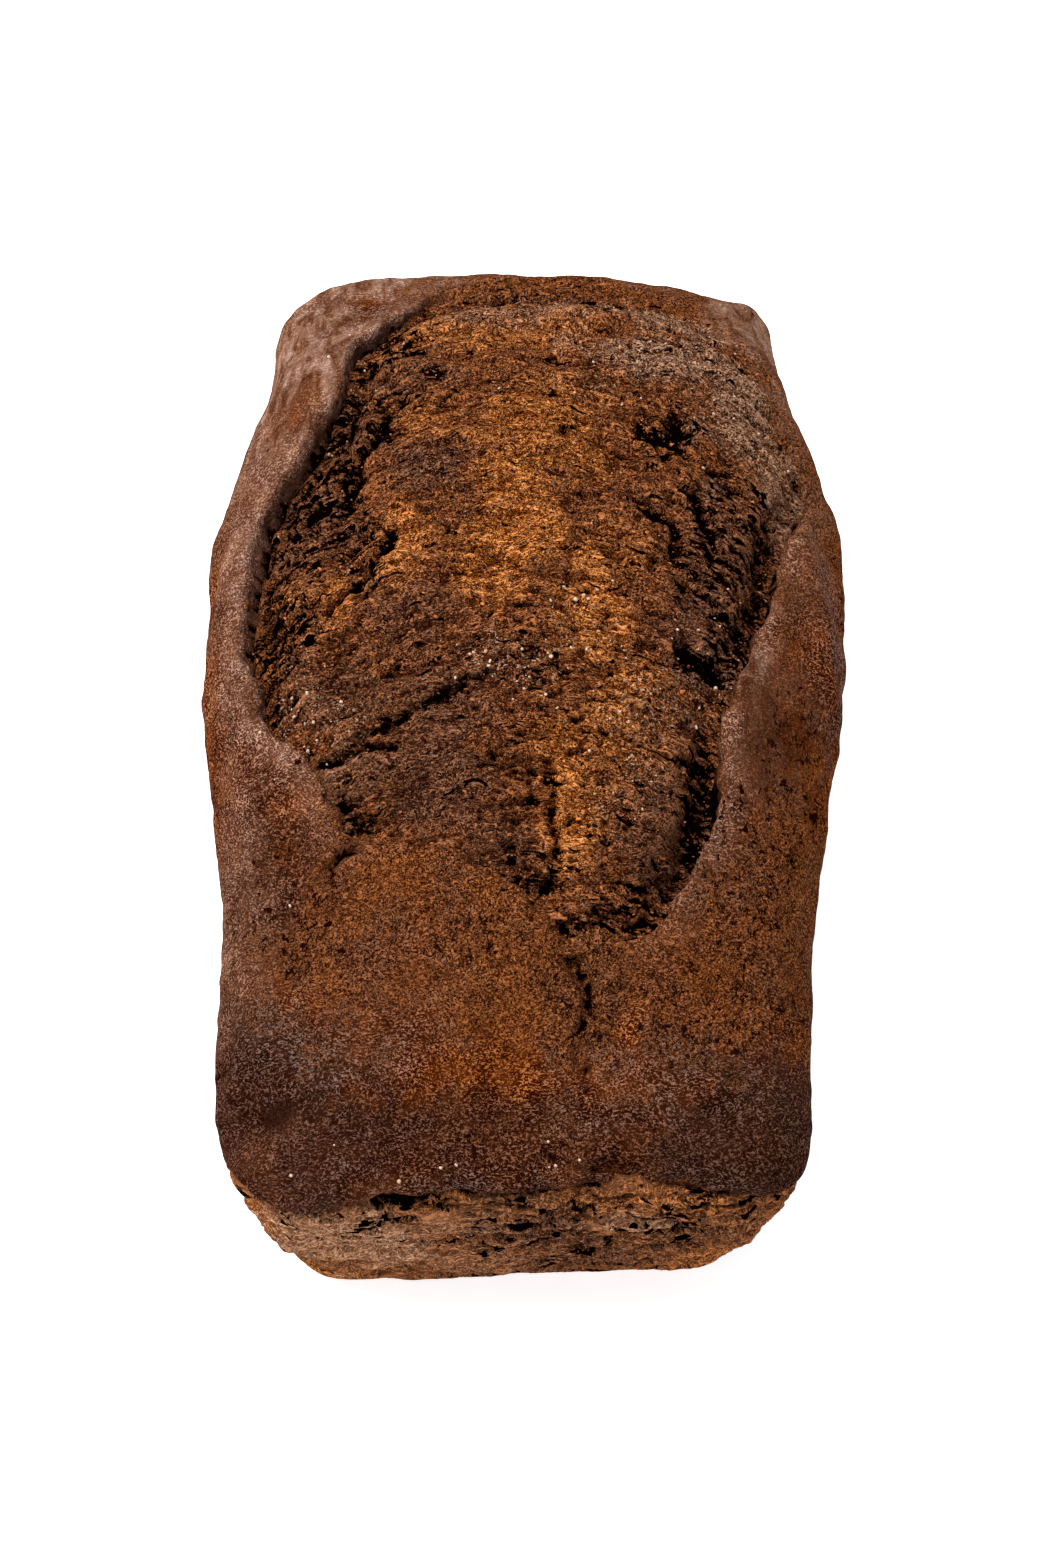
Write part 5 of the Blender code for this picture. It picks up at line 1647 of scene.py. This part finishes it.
def shape_end(grid, tin, length, height):
    """Moves the grid's points to the torn crumb of the near end. Gives which of them are kept."""
    u, v, _ = vertices_of(grid).T
    x, y, w, on_top = end_places(tin, (u + 1.0) / 2 * length, (v + 1.0) / 2 * height)
    points, top = loaf_form(tin, x, y, w, on_top)
    place_vertices(grid, points)
    normals = normals_of(grid)
    depth, gape, near = end_depth(tin, points)
    kept = (depth > -PLUG_MARGIN) & (near > END_NEAR_LEAST)
    base, normals = points[kept], normals[kept]
    depth, gape, near = depth[kept], gape[kept], near[kept]
    flaky = smooth(base[:, 2] / CALM_FOOT) * (1.0 - smooth(0.5 - depth / RIM_BLEND))
    shaggy = END_CALM + (1.0 - END_CALM) * eased(base[:, 0], SHAGGY_START, SHAGGY_RUN)
    layers = base * np.array(FLAKE_STRETCH)
    upright = np.stack((base[:, 0], base[:, 2], base[:, 1]), axis=1)
    pitted = zone_share(upright, END_PITTED_ZONES)
    fine, holes = fine_crumb(base, layers, pitted)
    bulge = RIM_LIP * hump((depth + RIM_LIP_RISE) / RIM_LIP_WIDTH)
    shallow_crevice = RIM_CREVICE * hump((depth - RIM_CREVICE_DROP) / RIM_CREVICE_WIDTH)
    crevice = END_GAPE_SHARE * gape * (1.0 - eased(depth, END_CREVICE_START, END_CREVICE_RUN))
    crevice = crevice * smooth(depth / MM + 1.0)
    dive = PLUG_DIVE * np.maximum(-depth - END_DIVE_START, 0.0)
    dive = dive + END_SIDE_DIVE * (1.0 - smooth(near / END_SIDE_RUN))
    dive = dive + END_CRACK_DIVE * crack_relief(base) * (depth < 0)
    rise = crust_relief(base) + top[kept] * swelling_relief(base)
    rise = rise + near * (bulge - RIM_CREVICE_SHARE * shallow_crevice - crevice)
    torn = flake_relief(base) + shaggy * fine - np.maximum(shaggy, pitted) * holes
    rise = rise + near * flaky * torn - dive
    # Patchy painted shade in the crevice under the rim and in holes
    patchy = 1.0 + END_PATCHINESS * noise_at(base, PATCH_SIZE, 26)
    small = cavities(rise, kept, (-1, len(np.unique(u))), SMALL_CAVITY)
    large = cavities(rise, kept, (-1, len(np.unique(u))), LARGE_CAVITY)
    points[kept] = base + normals * rise[:, None]
    points[:, 2] = np.where(v < -1.0 + 1e-6, 0.0, np.maximum(points[:, 2], 0.0))
    place_vertices(grid, points)
    store_crumb(
        grid,
        kept,
        {
            "hollow": painted_hollow_shade(crevice * patchy + holes, large) * near,
            "pitted": pitted,
            "golden": zone_share(upright, END_GOLDEN_ZONES),
            "dusky": zone_share(upright, END_DUSKY_ZONES),
            "dusty": zone_share(upright, END_DUSTY_ZONES),
            "cavity": small + LARGE_CAVITY_SHARE * large,
            "fibre": layers,
        },
    )
    return kept


class LOAF_OT_end(bpy.types.Operator):
    """Makes the flaky crumb of the near end, under the crust's torn rim"""

    bl_idname = "loaf.end"
    bl_label = "Crumb of the near end"

    def execute(self, context):
        tin, look = context.scene.loaf_tin, context.scene.loaf_look
        pitch = tin.crumb_pitch * COARSENESS
        length = tin.rim_width + 2 * END_WRAP
        height = tin.rim_height - TOP_EDGE_RADIUS + TOP_EDGE_RADIUS * math.pi / 2 + END_OVERLAP
        grid = add_grid(round(length / pitch), round(height / pitch))
        keep_only(grid, shape_end(grid, tin, length, height))
        close_plug(grid, (0.0, PLUG_SKIRT, END_PLUG_RISE), (PLUG_TAPER, 1.0, 1.0), 0.0)
        colours = look.end_crumb, look.end_tan
        material = crumb_material("end_crumb", look, *colours, END_GRAIN_SHARE, END_GAP_SHARE)
        finish_piece(grid, "end_crumb", material)
        return {"FINISHED"}


# ---- Sugar and loose crumbs


def shown_surface():
    """A tree of faces for the crust and for each plug of crumb, for finding places on them."""
    graph = bpy.context.evaluated_depsgraph_get()
    names = ("loaf_crust", "burst_crumb", "end_crumb")
    return [BVHTree.FromObject(bpy.data.objects[name], graph) for name in names]


def highest_place(trees, x, y):
    """The highest place on the loaf at (x, y), and its normal, or nothing."""
    hits = [tree.ray_cast(Vector((x, y, RAY_START)), Vector((0.0, 0.0, -1.0))) for tree in trees]
    hits = [hit for hit in hits if hit[0] is not None]
    if not hits:
        return None
    place, normal, _, _ = min(hits, key=lambda hit: hit[3])
    return place, normal


def scatter(pattern, spots, name, material):
    """One mesh of copies of a modelled grain: each spot is a place, a size, a turn and a shade."""
    shape = vertices_of(pattern)
    faces = [list(face.vertices) for face in pattern.data.polygons]
    points, corners, shades = [], [], []
    for place, size, turn, shade in spots:
        corners.extend([k + len(points) * len(shape) for k in face] for face in faces)
        points.append(shape * size @ np.array(turn).T + np.array(place))
        shades.extend([shade] * len(shape))
    mesh = bpy.data.meshes.new(name)
    points = np.concatenate(points)
    mesh.from_pydata(points, [], corners)
    bpy.data.objects.remove(pattern)
    piece = bpy.data.objects.new(name, mesh)
    bpy.context.scene.collection.objects.link(piece)
    golden, dusky = zone_share(points, GOLDEN_ZONES), zone_share(points, DUSKY_ZONES)
    store(piece, {"shade": shades, "golden": golden, "dusky": dusky})
    finish_piece(piece, name, material)


def crystal_pattern():
    """One sugar crystal: a bevelled cube, a little out of true."""
    deselect_all()
    bpy.ops.mesh.primitive_cube_add(size=1.0)
    crystal = bpy.context.object
    bpy.ops.object.mode_set(mode="EDIT")
    bpy.ops.mesh.bevel(offset=CRYSTAL_BEVEL, segments=1, affect="EDGES")
    bpy.ops.transform.vertex_random(offset=CRYSTAL_UNEVENNESS, seed=3)
    bpy.ops.object.mode_set(mode="OBJECT")
    return crystal


def bit_pattern():
    """One crumb: a small uneven ball."""
    deselect_all()
    bpy.ops.mesh.primitive_ico_sphere_add(subdivisions=1, radius=0.5)
    bit = bpy.context.object
    bpy.ops.object.mode_set(mode="EDIT")
    bpy.ops.transform.vertex_random(offset=BIT_UNEVENNESS, seed=5)
    bpy.ops.object.mode_set(mode="OBJECT")
    return bit


def random_turn(draw):
    """A turn about any axis."""
    return Euler([draw.uniform(0.0, 2 * math.pi) for _ in range(3)]).to_matrix()


class LOAF_OT_bits(bpy.types.Operator):
    """Scatters crumbs over the torn places"""

    bl_idname = "loaf.bits"
    bl_label = "Loose crumbs"

    def execute(self, context):
        topping, look = context.scene.loaf_topping, context.scene.loaf_look
        draw = random.Random(topping.seed)
        lip = curve_through(LIP, True, 2) * MM
        trees, spots = shown_surface(), []
        while len(spots) < topping.bits:
            x, y = draw.uniform(*BURST_X), draw.uniform(*BURST_Y)
            if not is_inside(np.array([x]), np.array([y]), lip)[0]:
                continue
            found = highest_place(trees, x, y)
            size = topping.bit_size * draw.lognormvariate(0.0, BIT_SPREAD)
            stretch = Matrix.Diagonal([draw.uniform(*span) for span in BIT_STRETCH])
            turn = Euler([draw.gauss(0.0, BIT_TILT) for _ in range(3)]).to_matrix() @ stretch
            spots.append((found[0] - found[1] * size * BIT_SINK, size, turn, draw.random()))
        scatter(bit_pattern(), spots, "crumb_bits", bit_material(look))
        return {"FINISHED"}


class LOAF_OT_sugar(bpy.types.Operator):
    """Scatters baked sugar grains"""

    bl_idname = "loaf.sugar"
    bl_label = "Sugar"

    def execute(self, context):
        topping, look = context.scene.loaf_topping, context.scene.loaf_look
        draw = random.Random(topping.seed + 1)
        places = [(x * MM, y * MM) for x, y in SUGAR_PLACES]
        while len(places) < len(SUGAR_PLACES) + topping.grains:
            (x, y), (spread_x, spread_y) = draw.choice(SUGAR_PATCHES)
            places.append((draw.gauss(x, spread_x) * MM, draw.gauss(y, spread_y) * MM))
        trees, spots = shown_surface(), []
        for x, y in places:
            found = highest_place(trees, x, y)
            if found is None:
                continue
            alone = len(spots) < len(SUGAR_PLACES)
            size = LONE_SIZE if alone else min(draw.lognormvariate(0.0, SUGAR_SPREAD), SUGAR_MOST)
            size = topping.grain_size * size
            turn = random_turn(draw) @ Matrix.Diagonal([draw.uniform(*SUGAR_STRETCH) for _ in range(3)])
            spots.append((found[0] + found[1] * size * SUGAR_STAND, size, turn, draw.random()))
        scatter(crystal_pattern(), spots, "sugar_grains", sugar_material(look))
        return {"FINISHED"}


# ---- Stage


def add_area_light(name, place, aim, size, power, colour):
    """A square soft light at a place, turned to its aim."""
    deselect_all()
    bpy.ops.object.light_add(type="AREA", location=place)
    light = bpy.context.object
    light.name = name
    light.data.size = size
    light.data.energy = power
    light.data.color = colour
    light.rotation_euler = (Vector(aim) - Vector(place)).to_track_quat("-Z", "Y").to_euler()


def add_floor(stage):
    """The pale floor that the loaf stands on."""
    deselect_all()
    bpy.ops.mesh.primitive_plane_add(size=FLOOR_SIZE)
    floor = bpy.context.object
    floor.name = "floor"
    floor.data.materials.append(floor_material(stage))


def light_room(context, stage):
    """The even light of the room, the key light from the left and the soft light overhead."""
    world = bpy.data.worlds.new("room")
    world.use_nodes = True
    background = world.node_tree.nodes["Background"]
    background.inputs["Color"].default_value = (*ROOM_COLOUR, 1.0)
    background.inputs["Strength"].default_value = stage.sky
    context.scene.world = world
    add_area_light("key_light", KEY_PLACE, AIM, KEY_SIZE, stage.key, KEY_COLOUR)
    add_area_light("top_light", TOP_PLACE, AIM, TOP_SIZE, stage.top, TOP_COLOUR)


def add_camera(context, stage):
    """The camera, aimed down at the loaf with a slight turn and roll."""
    pitch, yaw, roll = stage.elevation, CAMERA_YAW, CAMERA_ROLL
    look = Vector((math.sin(yaw) * math.cos(pitch), math.cos(yaw) * math.cos(pitch), -math.sin(pitch)))
    right = Vector((math.cos(yaw), -math.sin(yaw), 0.0))
    up = right.cross(look)
    level = right * math.cos(roll) + up * math.sin(roll)
    tall = up * math.cos(roll) - right * math.sin(roll)
    turn = Matrix((level, tall, -look)).transposed().to_4x4()
    bpy.ops.object.camera_add()
    camera = context.object
    camera.name = "camera"
    camera.matrix_world = Matrix.Translation(Vector(AIM) - look * stage.distance) @ turn
    camera.data.sensor_width = SENSOR
    camera.data.lens = LENS
    context.scene.camera = camera


class LOAF_OT_stage(bpy.types.Operator):
    """Sets up the pale floor, the soft light and the camera"""

    bl_idname = "loaf.stage"
    bl_label = "Stage"

    def execute(self, context):
        stage = context.scene.loaf_stage
        add_floor(stage)
        light_room(context, stage)
        context.scene.view_settings.view_transform = "Standard"
        add_camera(context, stage)
        return {"FINISHED"}


class LOAF_PT_panel(bpy.types.Panel):
    """Lists the loaf's sizes, colours and steps"""

    bl_idname = "LOAF_PT_panel"
    bl_label = "Banana Bread Loaf"
    bl_space_type = "VIEW_3D"
    bl_region_type = "UI"
    bl_category = "Loaf"

    def draw(self, context):
        for name, group in SETTINGS.items():
            box = self.layout.box()
            for field in group.__annotations__:
                box.prop(getattr(context.scene, name), field)
        for step in STEPS:
            self.layout.operator(step.bl_idname)


SETTINGS = {"loaf_tin": LoafTin, "loaf_look": LoafLook, "loaf_topping": LoafTopping, "loaf_stage": LoafStage}
STEPS = (LOAF_OT_crust, LOAF_OT_burst, LOAF_OT_end, LOAF_OT_bits, LOAF_OT_sugar, LOAF_OT_stage)
CLASSES = (*SETTINGS.values(), *STEPS, LOAF_PT_panel)


def register():
    """Adds the classes and the scene's settings."""
    for item in CLASSES:
        bpy.utils.register_class(item)
    for name, group in SETTINGS.items():
        setattr(bpy.types.Scene, name, PointerProperty(type=group))


def unregister():
    """Takes the settings and the classes away again."""
    for name in SETTINGS:
        delattr(bpy.types.Scene, name)
    for item in reversed(CLASSES):
        bpy.utils.unregister_class(item)


def main():
    """Makes every piece and the stage."""
    register()
    bpy.ops.loaf.crust()
    bpy.ops.loaf.burst()
    bpy.ops.loaf.end()
    bpy.ops.loaf.bits()
    bpy.ops.loaf.sugar()
    bpy.ops.loaf.stage()


if __name__ == "__main__":
    main()
